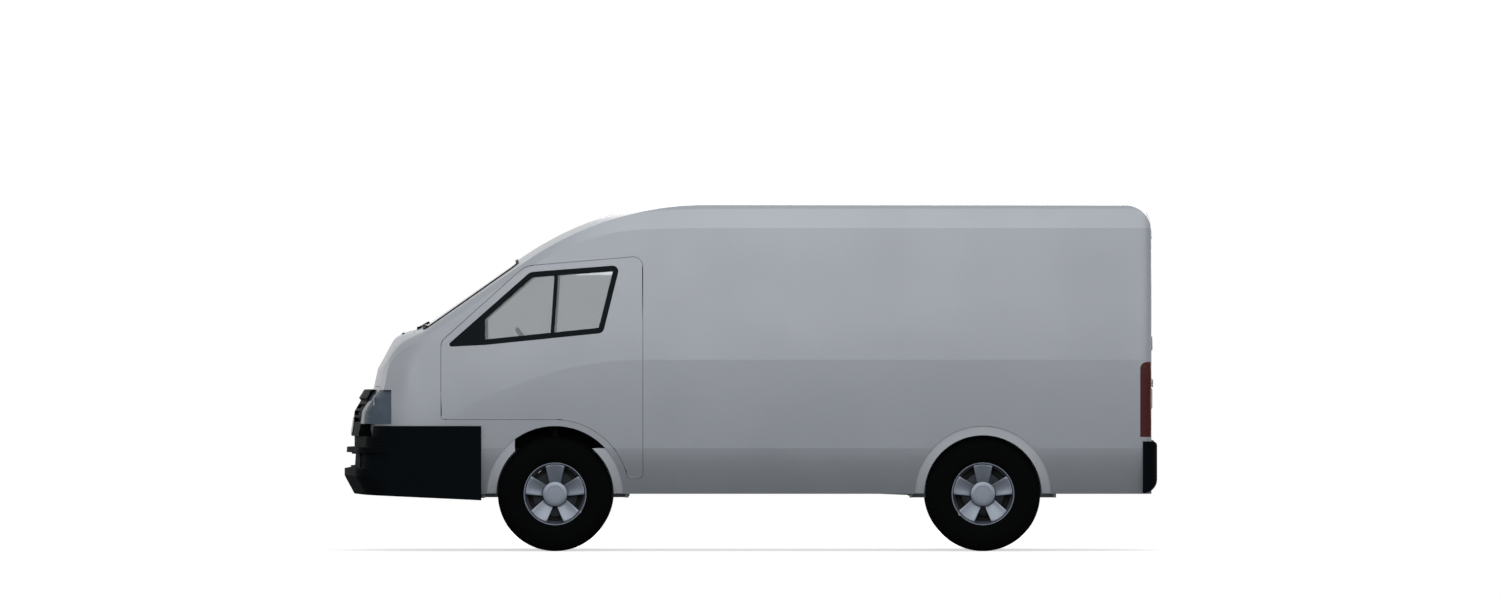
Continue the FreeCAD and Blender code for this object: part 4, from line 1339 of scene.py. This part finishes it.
@dataclass
class TailPieces:
    """What the tailgate, the tail lamps and the rear bumper carry."""

    plate_half: float = 0.260
    plate_low: float = 0.860
    plate_high: float = 0.970

    def skin(self, y: float, z: float) -> float:
        """Outer skin of the rear at a place."""
        return frontal(y, z, 3.2, ["tailgate", "tailgate_glass", "rear_frame", "tail_lamps"])

    def patch(self, name: str, y: Spot, z: Spot, proud: float, depth: float) -> Piece:
        """A plate that follows the rear skin between two widths and heights."""

        def place(across: float, along: float) -> Point:
            a = y[0] + (y[1] - y[0]) * across
            b = z[0] + (z[1] - z[0]) * along
            return self.skin(a, b) + proud, a, b

        piece = sheet(name, 10, 4, place, (-depth, 0, 0))
        tidy(piece)
        return piece

    def handle(self) -> None:
        """Number plate, its holder and the grip bar with two plate lamps above it."""
        y, low, high = self.plate_half, self.plate_low, self.plate_high
        holder = self.patch("rear_plate_holder", (-y - 0.008, y + 0.008), (low - 0.006, high + 0.006), 0.004, 0.0045)
        bevel(holder, 0.001, 1, 50)
        finish(holder, "tailgate", FRAME_BLACK, "dark_plastic")
        blank = self.patch("rear_plate_blank", (-y, y), (low, high), 0.0058, 0.0018)
        bevel(blank, 0.0006, 1, 50)
        finish(blank, "tailgate", BLANK, "body_paint")
        x = self.skin(0.0, 1.01)
        outline = [(x - 0.006, 0.990), (x + 0.006, 0.994), (x + 0.009, 1.010), (x + 0.007, 1.030), (x - 0.006, 1.040)]
        bar = plate("tailgate_grip", [(a, -0.32, b) for a, b in outline], (0, 0.64, 0))
        pick(bar, lambda c, n: abs(n.y) > 0.9)
        tidy(bar)
        bevel(bar, 0.002, 2, 25)
        finish(bar, "tailgate", PAINT, "body_paint")
        lamps: list[Piece] = []
        for side in (-0.16, 0.16):
            lamp = slab(f"plate_lamp_{side:.2f}", (x - 0.004, side - 0.03, 0.984), (x + 0.010, side + 0.03, 0.993), 0.002)
            lamps.append(lamp)
        piece = join(lamps[0], lamps[1:])
        piece.name = piece.data.name = "plate_lamps"
        finish(piece, "tailgate", LENS, "lamp_lens")

    def lamp(self) -> None:
        """Raised red bar of the high brake lamp under the roof edge."""
        housing = self.patch("high_lamp_housing", (-0.175, 0.175), (1.868, 1.908), 0.0015, 0.005)
        bevel(housing, 0.0015, 2, 50)
        finish(housing, "tailgate", FRAME_BLACK, "dark_plastic")
        red = self.patch("high_lamp_lens", (-0.163, 0.163), (1.875, 1.901), 0.003, 0.004)
        bevel(red, 0.0015, 2, 50)
        finish(red, "tailgate", RED_LENS, "lamp_lens")

    def wiper(self) -> None:
        """Rear wiper parked along the foot of the tailgate glass."""
        y, z = 0.0, 1.222
        x = self.skin(y, z)
        knob = turned(
            "rear_wiper_pivot",
            [(-0.006, 0.0), (-0.006, 0.020), (0.006, 0.019), (0.009, 0.012), (0.0095, 0.0)],
            (x, y, z),
            Axis.X,
            28,
        )
        tidy(knob)
        spots = [(x + 0.005, y, z), (x + 0.008, 0.10, 1.245), (x + 0.008, 0.24, 1.285)]
        arm = pipe("rear_wiper_arm", spots, 0.0035)
        whole = join(knob, [arm])
        finish(whole, "tailgate", FRAME_BLACK, "dark_plastic")
        blade_z = [(0.02, 1.272), (0.17, 1.284), (0.32, 1.298), (0.46, 1.312)]
        blade = pipe("rear_wiper_blade", [(self.skin(a, b) + 0.005, a, b) for a, b in blade_z], 0.0040)
        finish(blade, "tailgate", SEAL, "dark_plastic")

    def lenses(self) -> None:
        """Amber and clear windows on the rear faces of both tail lamps."""
        for name, low, high, look in (
            ("turn_lamp", 0.99, 1.075, AMBER),
            ("reverse_lamp", 0.725, 0.790, WHITE_LENS),
        ):
            pair: list[Piece] = []
            for sign in (-1.0, 1.0):
                spots = sorted((sign * 0.812, sign * 0.872))
                piece = self.patch(f"{name}_{sign:.0f}", (spots[0], spots[1]), (low, high), 0.0012, 0.004)
                pair.append(piece)
            whole = join(pair[0], pair[1:])
            whole.name = whole.data.name = f"{name}_windows"
            finish(whole, BODY, look, "lamp_lens")

    def bumper(self) -> None:
        """Ribbed step pad on the rear bumper and two flush reflectors."""
        pad = slab("bumper_step", (2.365, -0.62, 0.6595), (2.432, 0.62, 0.6625), 0.001, 1)
        ribs = [slab(f"step_rib_{i}", (2.368, -0.60 + 0.048 * i, 0.6620), (2.428, -0.588 + 0.048 * i, 0.6650), 0.001, 1) for i in range(26)]
        whole = join(pad, ribs)
        finish(whole, BODY, FRAME_BLACK, "dark_plastic")
        made: list[Piece] = []
        for sign in (-1.0, 1.0):
            low, high = sorted((sign * 0.62, sign * 0.76))
            x = frontal(sign * 0.69, 0.50, 3.2, ["rear_bumper"])
            made.append(slab(f"reflector_{sign:.0f}", (x - 0.004, low, 0.485), (x, high, 0.520), 0.001, 2))
        piece = join(made[0], made[1:])
        piece.name = piece.data.name = "rear_reflectors"
        finish(piece, BODY, RED_LENS, "lamp_lens")

    def build(self) -> None:
        """Makes the rear pieces."""
        self.handle()
        self.lamp()
        self.wiper()
        self.lenses()
        self.bumper()


@dataclass
class RightSide:
    """Rail of the sliding door and its pull cup on the right flank."""

    rail_low: float = 1.098
    rail_high: float = 1.128
    rail_from: float = 0.505
    rail_to: float = 1.720

    def strip(self, name: str, x: Spot, z: Spot, proud: float, depth: float) -> Piece:
        """A plate that follows the right flank."""
        nodes = ("side_panel_right", "sliding_door")

        def place(across: float, along: float) -> Point:
            a = x[0] + (x[1] - x[0]) * across
            b = z[0] + (z[1] - z[0]) * along
            return a, outside(a, b, 1.0, nodes) + proud, b

        piece = sheet(name, 16, 3, place, (0, -depth, 0))
        tidy(piece)
        return piece

    def build(self) -> None:
        """Makes the rail cover and the cup."""
        rail = self.strip("slide_rail_cover", (self.rail_from, self.rail_to), (self.rail_low, self.rail_high), 0.0011, 0.004)
        bevel(rail, 0.0010, 2, 50)
        finish(rail, BODY, SEAL, "dark_plastic")
        ring = self.strip("slide_pull_ring", (-0.545, -0.395), (1.055, 1.115), 0.0011, 0.004)
        bevel(ring, 0.0015, 2, 50)
        grip = self.strip("slide_pull_grip", (-0.535, -0.405), (1.066, 1.090), 0.0026, 0.003)
        bevel(grip, 0.0015, 2, 50)
        whole = join(ring, [grip])
        finish(whole, BODY, FRAME_BLACK, "dark_plastic")


@dataclass
class Seats:
    """Two padded seats on plinths, cloth with vinyl bolsters, replacing the CAD seats."""

    middle: float = 0.450
    half: float = 0.300

    def pad(self, name: str, low: Point, high: Point, bulge: float, cuts: int = 3) -> Piece:
        """A rounded pad: a block whose faces swell, smoothed by subdivision."""
        clear()
        bpy.ops.mesh.primitive_cube_add(size=1, location=[(a + b) / 2 for a, b in zip(low, high)])
        piece = bpy.context.object
        piece.scale = [b - a for a, b in zip(low, high)]
        piece.name = piece.data.name = name
        settle(piece)
        bpy.ops.object.mode_set(mode="EDIT")
        bpy.ops.mesh.select_all(action="SELECT")
        bpy.ops.mesh.subdivide(number_cuts=cuts)
        mesh = bmesh.from_edit_mesh(piece.data)
        centre = [(a + b) / 2 for a, b in zip(low, high)]
        size = [(b - a) / 2 for a, b in zip(low, high)]
        for vert in mesh.verts:
            share = [(vert.co[i] - centre[i]) / size[i] for i in range(3)]
            for i in range(3):
                others = [share[k] for k in range(3) if k != i]
                swell = (1 - others[0] ** 2) * (1 - others[1] ** 2)
                vert.co[i] += share[i] * bulge * swell
        bmesh.update_edit_mesh(piece.data)
        bpy.ops.object.mode_set(mode="OBJECT")
        bevel(piece, 0.022, 3, 40)
        modify(piece, "SUBSURF", levels=1, render_levels=1)
        return piece

    def lean(self, piece: Piece, by: float, low: float, high: float) -> None:
        """Leans a pad back: its top moves by this much along X."""
        only(piece)
        bpy.ops.object.mode_set(mode="EDIT")
        mesh = bmesh.from_edit_mesh(piece.data)
        for vert in mesh.verts:
            vert.co.x += by * (vert.co.z - low) / (high - low)
        bmesh.update_edit_mesh(piece.data)
        bpy.ops.object.mode_set(mode="OBJECT")

    def build(self) -> None:
        """Makes both seats; the joined cloth pads stand in for the CAD seats."""
        cushions: list[Piece] = []
        sides: list[Piece] = []
        plinths: list[Piece] = []
        for sign, name in ((-1.0, "left"), (1.0, "right")):
            y = sign * self.middle
            cushion = self.pad(f"seat_cushion_{name}", (-1.045, y - 0.215, 0.885), (-0.665, y + 0.215, 0.985), 0.012)
            back = self.pad(f"seat_back_{name}", (-0.700, y - 0.205, 0.990), (-0.625, y + 0.205, 1.262), 0.010)
            self.lean(back, 0.030, 0.990, 1.262)
            cushions += [cushion, back]
            for edge in (-1.0, 1.0):
                roll = self.pad(
                    f"seat_roll_{name}_{edge:.0f}",
                    (-1.050, y + edge * 0.255 - 0.042, 0.880),
                    (-0.655, y + edge * 0.255 + 0.042, 1.005),
                    0.006,
                )
                wing = self.pad(
                    f"seat_wing_{name}_{edge:.0f}",
                    (-0.715, y + edge * 0.245 - 0.040, 0.990),
                    (-0.625, y + edge * 0.245 + 0.040, 1.240),
                    0.006,
                )
                self.lean(wing, 0.028, 0.990, 1.240)
                sides += [roll, wing]
            plinth = slab(f"seat_plinth_{name}", (-1.010, y - 0.22, 0.8305), (-0.680, y + 0.22, 0.884), 0.008, 2)
            lever = slab(f"seat_lever_{name}", (-1.000, y + sign * 0.222, 0.860), (-0.900, y + sign * 0.236, 0.872), 0.004, 2)
            plinths += [plinth, lever]
        for group, name, look in ((cushions, "seat_pads", CLOTH), (sides, "seat_bolsters", VINYL)):
            piece = join(group[0], group[1:])
            piece.name = piece.data.name = name
            finish(piece, BODY, look, "seat_cloth", 60, ["seats"] if name == "seat_pads" else [])
        base = join(plinths[0], plinths[1:])
        base.name = base.data.name = "seat_plinths"
        finish(base, BODY, TRIM, "dark_plastic")


@dataclass
class Cabin:
    """Instruments, vents, wheel boss, pedals, levers and door cards."""

    wheel_top: Point = (-1.408, -0.4, 1.341)
    wheel_low: Point = (-1.180, -0.4, 1.037)

    def board(self) -> None:
        """Binnacle hood, dials, vents, centre panel and glovebox lid."""
        hood = sheet(
            "binnacle_hood",
            12,
            6,
            lambda u, v: (
                -1.80 + 0.155 * v,
                -0.4 + 0.17 * math.cos(math.pi * (1 - u)),
                1.205 + 0.085 * math.sin(math.pi * u) ** 0.6 - 0.01 * v,
            ),
            (0, 0, -0.006),
        )
        tidy(hood)
        dials: list[Piece] = []
        for y in (-0.475, -0.325):
            dial = turned(
                f"dial_{y:.3f}",
                [(-0.012, 0.0), (-0.012, 0.042), (0.004, 0.042), (0.004, 0.038), (-0.002, 0.036), (-0.002, 0.0)],
                (-1.690, y, 1.231),
                Axis.X,
                40,
            )
            tidy(dial)
            dials.append(dial)
        screens = join(dials[0], dials[1:])
        screens.name = screens.data.name = "instrument_dials"
        finish(hood, BODY, TRIM, "dark_plastic")
        finish(screens, BODY, GLOSS_BLACK, "dark_plastic")
        vents: list[Piece] = []
        for y in (-0.74, -0.13, 0.13, 0.74):
            x = self.face(y, 1.10)
            vents.append(slab(f"vent_{y:.2f}", (x - 0.004, y - 0.062, 1.070), (x + 0.005, y + 0.062, 1.135), 0.004, 2))
            for k in range(5):
                low = 1.078 + 0.011 * k
                vents.append(slab(f"slat_{y:.2f}_{k}", (x + 0.004, y - 0.052, low), (x + 0.0085, y + 0.052, low + 0.004), 0.001, 1))
        x = self.face(0.0, 1.00)
        vents.append(slab("centre_panel", (x - 0.010, -0.115, 0.965), (x + 0.006, 0.115, 1.055), 0.006, 3))
        lid_x = self.face(0.45, 1.03)
        vents.append(slab("glovebox_lid", (lid_x - 0.010, 0.22, 0.975), (lid_x + 0.003, 0.68, 1.055), 0.005, 3))
        trim = join(vents[0], vents[1:])
        trim.name = trim.data.name = "dashboard_fittings"
        finish(trim, BODY, FRAME_BLACK, "dark_plastic")
        knobs: list[Piece] = []
        for y in (-0.07, 0.0, 0.07):
            knob = turned(
                f"knob_{y:.2f}",
                [(0.0, 0.0), (0.0, 0.017), (0.012, 0.015), (0.016, 0.012), (0.016, 0.0)],
                (x + 0.005, y, 0.992),
                Axis.X,
                28,
            )
            tidy(knob)
            knobs.append(knob)
        piece = join(knobs[0], knobs[1:])
        piece.name = piece.data.name = "heater_knobs"
        finish(piece, BODY, TRIM, "dark_plastic")

    def face(self, y: float, z: float) -> float:
        """Rear face of the dashboard, which looks at the seats."""
        spot = hit("dashboard", (-0.9, y, z), (-1, 0, 0))
        return spot.x if spot else -1.62

    def wheel_boss(self) -> None:
        """Pad in the middle of the steering wheel, and two stalks behind it."""
        top, low = Vector(self.wheel_top), Vector(self.wheel_low)
        middle = (top + low) / 2
        along = (top - low).normalized()
        normal = Vector((along.z, 0, -along.x))
        pad = turned(
            "steering_boss",
            [(0.012, 0.0), (0.012, 0.070), (0.026, 0.066), (0.034, 0.050), (0.037, 0.0)],
            (0, 0, 0),
            Axis.Z,
            40,
        )
        tidy(pad)
        pad.matrix_world = Matrix.Translation(middle) @ normal.to_track_quat("Z", "Y").to_matrix().to_4x4()
        settle(pad)
        finish(pad, BODY, TRIM, "dark_plastic")
        foot = middle - normal * 0.075
        stalks = [
            pipe("stalk_left", [tuple(foot + Vector((0, -0.03, 0))), tuple(foot + Vector((0.01, -0.11, 0.01))), tuple(foot + Vector((0.02, -0.18, 0.03)))], 0.006),
            pipe("stalk_right", [tuple(foot + Vector((0, 0.03, 0))), tuple(foot + Vector((0.01, 0.11, 0.01))), tuple(foot + Vector((0.02, 0.18, 0.03)))], 0.006),
        ]
        piece = join(stalks[0], stalks[1:])
        piece.name = piece.data.name = "column_stalks"
        finish(piece, BODY, FRAME_BLACK, "dark_plastic")

    def levers(self) -> None:
        """Gear lever with its gaiter, handbrake and three pedals."""
        gaiter = turned(
            "gear_gaiter",
            [(0.0, 0.0), (0.0, 0.060), (0.012, 0.052), (0.020, 0.056), (0.034, 0.040), (0.044, 0.043), (0.062, 0.020), (0.066, 0.0)],
            (-1.36, 0.0, 0.831),
            Axis.Z,
            32,
        )
        tidy(gaiter)
        stick = pipe("gear_stick", [(-1.36, 0.0, 0.88), (-1.355, 0.0, 0.98), (-1.33, 0.0, 1.06)], 0.007)
        knob = turned("gear_knob", [(-0.03, 0.0), (-0.03, 0.012), (-0.01, 0.022), (0.012, 0.024), (0.026, 0.014), (0.03, 0.0)], (-1.327, 0.0, 1.085), Axis.Z, 28)
        tidy(knob)
        brake = pipe("handbrake", [(-0.95, 0.0, 0.845), (-1.06, 0.0, 0.865), (-1.17, 0.0, 0.900)], 0.013)
        group = join(gaiter, [stick, knob, brake])
        group.name = group.data.name = "floor_levers"
        finish(group, BODY, TRIM, "dark_plastic")
        pads: list[Piece] = []
        for y, low, high in ((-0.56, 0.905, 0.965), (-0.44, 0.905, 0.965), (-0.30, 0.885, 0.985)):
            pads.append(slab(f"pedal_{y:.2f}", (-1.745, y - 0.032, low), (-1.735, y + 0.032, high), 0.003, 2))
            pads.append(pipe(f"pedal_arm_{y:.2f}", [(-1.742, y, high - 0.03), (-1.80, y, 0.99), (-1.85, y, 1.03)], 0.007))
        piece = join(pads[0], pads[1:])
        piece.name = piece.data.name = "pedals"
        finish(piece, BODY, FRAME_BLACK, "dark_plastic")

    def door_cards(self) -> None:
        """Armrest, card and pull on the inside of each front door."""
        for sign, side in ((-1.0, "left"), (1.0, "right")):
            spot = hit(f"door_panel_{side}", (-1.1, 0.0, 1.10), (0, sign, 0))
            y = abs(spot.y) if spot else 0.86
            a, b = sorted((sign * (y - 0.045), sign * (y - 0.002)))
            rest = slab(f"armrest_{side}", (-1.42, a, 1.080), (-0.86, b, 1.125), 0.014, 3)
            a, b = sorted((sign * (y - 0.014), sign * (y - 0.001)))
            card = slab(f"door_card_{side}", (-1.60, a, 0.900), (-0.80, b, 1.190), 0.006, 2)
            pull = slab(f"door_pull_{side}", (-1.52, a - 0.006, 1.140), (-1.42, b, 1.165), 0.005, 2)
            piece = join(rest, [card, pull])
            piece.name = piece.data.name = f"door_trim_{side}"
            finish(piece, f"door_{side}", TRIM, "dark_plastic")

    def build(self) -> None:
        """Makes the cab's fittings."""
        self.board()
        self.wheel_boss()
        self.levers()
        self.door_cards()


@dataclass
class LoadSpace:
    """Floor boards, tie-down rings and pressed ribs in the load space."""

    floor_z: float = 0.590
    rib_xs: tuple[float, ...] = (-0.20, 0.40, 1.00, 1.60, 2.10)

    def floor(self) -> None:
        """Three birch boards between the wheel boxes."""
        top = hit("floor_pan", (0.5, 0.1, 1.5), (0, 0, -1))
        z = top.z if top else self.floor_z
        boards = [
            slab(f"board_{i}", (-0.50 + 0.95 * i, -0.63, z + 0.0005), (0.443 + 0.95 * i, 0.63, z + 0.012), 0.002, 1)
            for i in range(3)
        ]
        piece = join(boards[0], boards[1:])
        piece.name = piece.data.name = "load_floor_boards"
        finish(piece, BODY, BOARD, "dark_plastic")
        rings: list[Piece] = []
        for x in (-0.40, 0.50, 1.40, 2.25):
            for y in (-0.60, 0.60):
                points = [
                    (x + 0.024 * math.cos(t), y, z + 0.026 + 0.014 * math.sin(t))
                    for t in (k * math.pi / 4 for k in range(8))
                ]
                rings.append(pipe(f"ring_{x}_{y}", points, 0.0035, 2, True))
        whole = join(rings[0], rings[1:])
        whole.name = whole.data.name = "tie_down_rings"
        finish(whole, BODY, STEEL, "painted_steel")

    def ribs(self) -> None:
        """Pressed ribs that stiffen the side walls from inside."""
        made: list[Piece] = []
        for sign, side in ((-1.0, "left"), (1.0, "right")):
            for x in self.rib_xs:

                def place(across: float, along: float) -> Point:
                    a = x - 0.028 + 0.056 * across
                    b = 0.90 + 0.98 * along
                    nodes = (f"side_panel_{side}", "sliding_door")
                    spots = [hit(n, (a, sign * 0.3, b), (0, sign, 0)) for n in nodes]
                    found = [abs(s.y) for s in spots if s]
                    return a, sign * ((min(found) if found else 0.86) - 0.022), b

                rib = sheet(f"rib_{side}_{x}", 2, 8, place, (0, sign * 0.0215, 0))
                tidy(rib)
                made.append(rib)
        piece = join(made[0], made[1:])
        piece.name = piece.data.name = "load_space_ribs"
        bevel(piece, 0.004, 1, 50)
        finish(piece, BODY, LINING, "painted_steel")

    def build(self) -> None:
        """Makes the load space's fittings."""
        self.floor()
        self.ribs()


@dataclass
class Underneath:
    """Dampers, U-bolts, tank straps, a brake pipe and exhaust clamps."""

    spring_y: float = 0.560

    def build(self) -> None:
        """Makes the small parts under the floor."""
        made: list[Piece] = []
        steel: list[Piece] = []
        for sign in (-1.0, 1.0):
            y = sign * 0.470
            made.append(pipe(f"damper_{sign}", [(1.46, y, 0.400), (1.53, y, 0.485), (1.60, y, 0.553)], 0.024, 4))
            steel.append(pipe(f"damper_rod_{sign}", [(1.435, y, 0.370), (1.445, y, 0.382), (1.462, y, 0.402)], 0.010, 3))
            for x in (1.352, 1.448):
                a = sign * (self.spring_y - 0.036)
                b = sign * (self.spring_y + 0.036)
                z = 0.395
                steel.append(
                    pipe(f"u_bolt_{sign}_{x}", [(x, a, z + 0.06), (x, a, z - 0.106), (x, b, z - 0.106), (x, b, z + 0.06)], 0.006, 2)
                )
        for x in (0.20, 0.58):
            points = [(x, -0.787, 0.555), (x, -0.787, 0.346), (x, -0.443, 0.346), (x, -0.443, 0.555)]
            strap = plate(
                f"tank_strap_{x}",
                [(x - 0.016, p[1], p[2]) for p in points] + [(x - 0.016, p[1] * k, p[2] + d) for p, k, d in zip(reversed(points), (1.008, 1.008, 0.995, 0.995), (0.0, 0.004, 0.004, 0.0))],
                (0.032, 0, 0),
            )
            tidy(strap)
            steel.append(strap)
        for x in (-0.10, 0.95, 1.75):
            clamp = turned(f"clamp_{x}", [(-0.012, 0.030), (-0.012, 0.036), (0.012, 0.036), (0.012, 0.030)], (x, 0.23, 0.427), Axis.X, 28)
            tidy(clamp)
            steel.append(clamp)
        line = pipe(
            "brake_pipe",
            [(-1.9, 0.437, 0.50), (-0.6, 0.437, 0.52), (0.6, 0.437, 0.52), (1.2, 0.437, 0.50), (1.38, 0.40, 0.44)],
            0.0035,
            2,
        )
        made.append(line)
        dark = join(made[0], made[1:])
        dark.name = dark.data.name = "rear_dampers"
        finish(dark, BODY, CHASSIS, "painted_steel")
        bright = join(steel[0], steel[1:])
        bright.name = bright.data.name = "underbody_fixings"
        finish(bright, BODY, STEEL, "painted_steel")


DRESS: dict[str, Finish] = {
    "front_frame": PAINT,
    "side_panel_left": PAINT,
    "side_panel_right": PAINT,
    "sliding_door": PAINT,
    "rear_frame": PAINT,
    "roof_panel": PAINT,
    "bonnet": PAINT,
    "tailgate": PAINT,
    "door_panel_left": PAINT,
    "door_panel_right": PAINT,
    "door_frame_left": FRAME_BLACK,
    "door_frame_right": FRAME_BLACK,
    "door_glass_left": GLASS,
    "door_glass_right": GLASS,
    "windscreen": GLASS,
    "tailgate_glass": GLASS,
    "screen_seal": SEAL,
    "tailgate_seal": SEAL,
    "propeller_shaft": CHASSIS,
    "grille": GLOSS_BLACK,
    "headlamps": LENS,
    "tail_lamps": RED_LENS,
    "front_bumper": BUMPER,
    "rear_bumper": BUMPER,
    "floor_pan": LINING,
    "bulkhead": LINING,
    "front_wheelhouses": LINING,
    "rear_wheelhouses": LINING,
    "front_arch_liners": LINER,
    "chassis_rails": CHASSIS,
    "engine_block": IRON,
    "front_suspension": CHASSIS,
    "rear_axle": CHASSIS,
    "leaf_springs": CHASSIS,
    "fuel_tank": TRIM,
    "exhaust": IRON,
    "seats": CLOTH,
    "dashboard": TRIM,
    "steering_wheel": TRIM,
    "knuckle_left": IRON,
    "knuckle_right": IRON,
}


def dress_frame() -> None:
    """Gives each CAD node that stays in view its finish."""
    for name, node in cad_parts.items():
        finish = DRESS.get(name)
        if finish is None:
            finish = RUBBER if name.startswith("tyre") else ALLOY
        made = finish.build()
        if not node.material_slots:
            node.data.materials.append(made)
        for held in node.material_slots:
            held.material = made
        log.info("dressed %s in %s", name, made.name)




@dataclass
class Studio:
    """Pale floor, white backdrop, soft lamps and the camera."""

    frame_width: float = 9.0
    frame_centre: Spot = (0.0015, 1.509)
    lens: float = 600.0
    sensor: float = 36.0
    near_side: float = -0.94
    floor_half: float = 60.0

    def floor(self) -> None:
        """A wide pale floor that keeps the shadow and turns white to the eye."""
        bpy.ops.object.select_all(action="DESELECT")
        bpy.ops.mesh.primitive_plane_add(size=2 * self.floor_half, location=(0, 0, 0))
        made = bpy.context.object
        made.name = "floor"
        bpy.ops.object.mode_set(mode="EDIT")
        bpy.ops.mesh.subdivide(number_cuts=3)
        bpy.ops.object.mode_set(mode="OBJECT")
        mat = bpy.data.materials.new("floor_paint")
        mat.use_nodes = True
        tree = mat.node_tree
        tree.nodes.clear()
        path = add(tree, "ShaderNodeLightPath")
        matt = add(tree, "ShaderNodeBsdfDiffuse", {0: linear("#8d8f91")})
        seen = add(tree, "ShaderNodeBsdfDiffuse", {0: linear("#f4f4f4")})
        glow = add(tree, "ShaderNodeEmission", {0: linear("#ffffff"), 1: 0.62})
        both = add(tree, "ShaderNodeAddShader", {0: seen.outputs[0], 1: glow.outputs[0]})
        mix = add(
            tree,
            "ShaderNodeMixShader",
            {0: path.outputs["Is Camera Ray"], 1: matt.outputs[0], 2: both.outputs[0]},
        )
        add(tree, "ShaderNodeOutputMaterial", {0: mix.outputs[0]})
        made.data.materials.append(mat)

    def world(self) -> None:
        """White to the eye and in reflections, plain grey light elsewhere."""
        world = bpy.data.worlds.new("studio")
        bpy.context.scene.world = world
        world.use_nodes = True
        tree = world.node_tree
        tree.nodes.clear()
        path = add(tree, "ShaderNodeLightPath")
        seen = add(
            tree,
            "ShaderNodeMath",
            {0: path.outputs["Is Camera Ray"], 1: path.outputs["Is Glossy Ray"]},
            operation="MAXIMUM",
        )
        seen = add(
            tree,
            "ShaderNodeMath",
            {0: seen.outputs[0], 1: path.outputs["Is Transmission Ray"]},
            operation="MAXIMUM",
        )
        dim = add(tree, "ShaderNodeBackground", {0: linear("#ffffff"), 1: 0.42})
        white = add(tree, "ShaderNodeBackground", {0: linear("#ffffff"), 1: 1.0})
        mix = add(
            tree,
            "ShaderNodeMixShader",
            {0: seen.outputs[0], 1: dim.outputs[0], 2: white.outputs[0]},
        )
        add(tree, "ShaderNodeOutputWorld", {0: mix.outputs[0]})

    def lamp(self, name: str, place: Point, size: float, power: float) -> None:
        """A square soft lamp aimed at the middle of the van."""
        data = bpy.data.lights.new(name, "AREA")
        data.size, data.energy = size, power
        made = bpy.data.objects.new(name, data)
        bpy.context.scene.collection.objects.link(made)
        made.location = place
        aim = Vector((0, 0, 1.0)) - Vector(place)
        made.rotation_euler = aim.to_track_quat("-Z", "Y").to_euler()

    def camera(self) -> None:
        """A long lens square to the left side, framed as the photograph is."""
        data = bpy.data.cameras.new("camera")
        data.lens, data.sensor_width = self.lens, self.sensor
        distance = self.frame_width * self.lens / self.sensor
        data.clip_start, data.clip_end = 1.0, 1000.0
        made = bpy.data.objects.new("camera", data)
        bpy.context.scene.collection.objects.link(made)
        made.location = (self.frame_centre[0], self.near_side - distance, self.frame_centre[1])
        made.rotation_euler = (math.radians(90), 0, 0)
        bpy.context.scene.camera = made

    def build(self) -> None:
        """Sets up the whole studio."""
        bpy.context.scene.view_settings.view_transform = "Standard"
        self.floor()
        self.world()
        self.lamp("key_lamp", (-1.5, -12, 5), 7, 290)
        self.lamp("fill_lamp", (5, -12, 5), 7, 135)
        self.lamp("top_lamp", (1, 0, 9), 8, 120)
        self.lamp("back_lamp", (2, 12, 5), 7, 330)
        self.camera()


def main() -> None:
    """Builds every class in order."""
    logging.basicConfig(level=logging.INFO, format="%(message)s")
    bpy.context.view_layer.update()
    Studio().build()
    dress_frame()
    Wheels().build()
    Arches().build()
    ShutLines().build()
    ScreenGasket().build()
    Headlamps().build()
    Wipers().build()
    NosePieces().build()
    TailPieces().build()
    RightSide().build()
    Seats().build()
    Cabin().build()
    LoadSpace().build()
    Underneath().build()


if __name__ == "__main__":
    main()
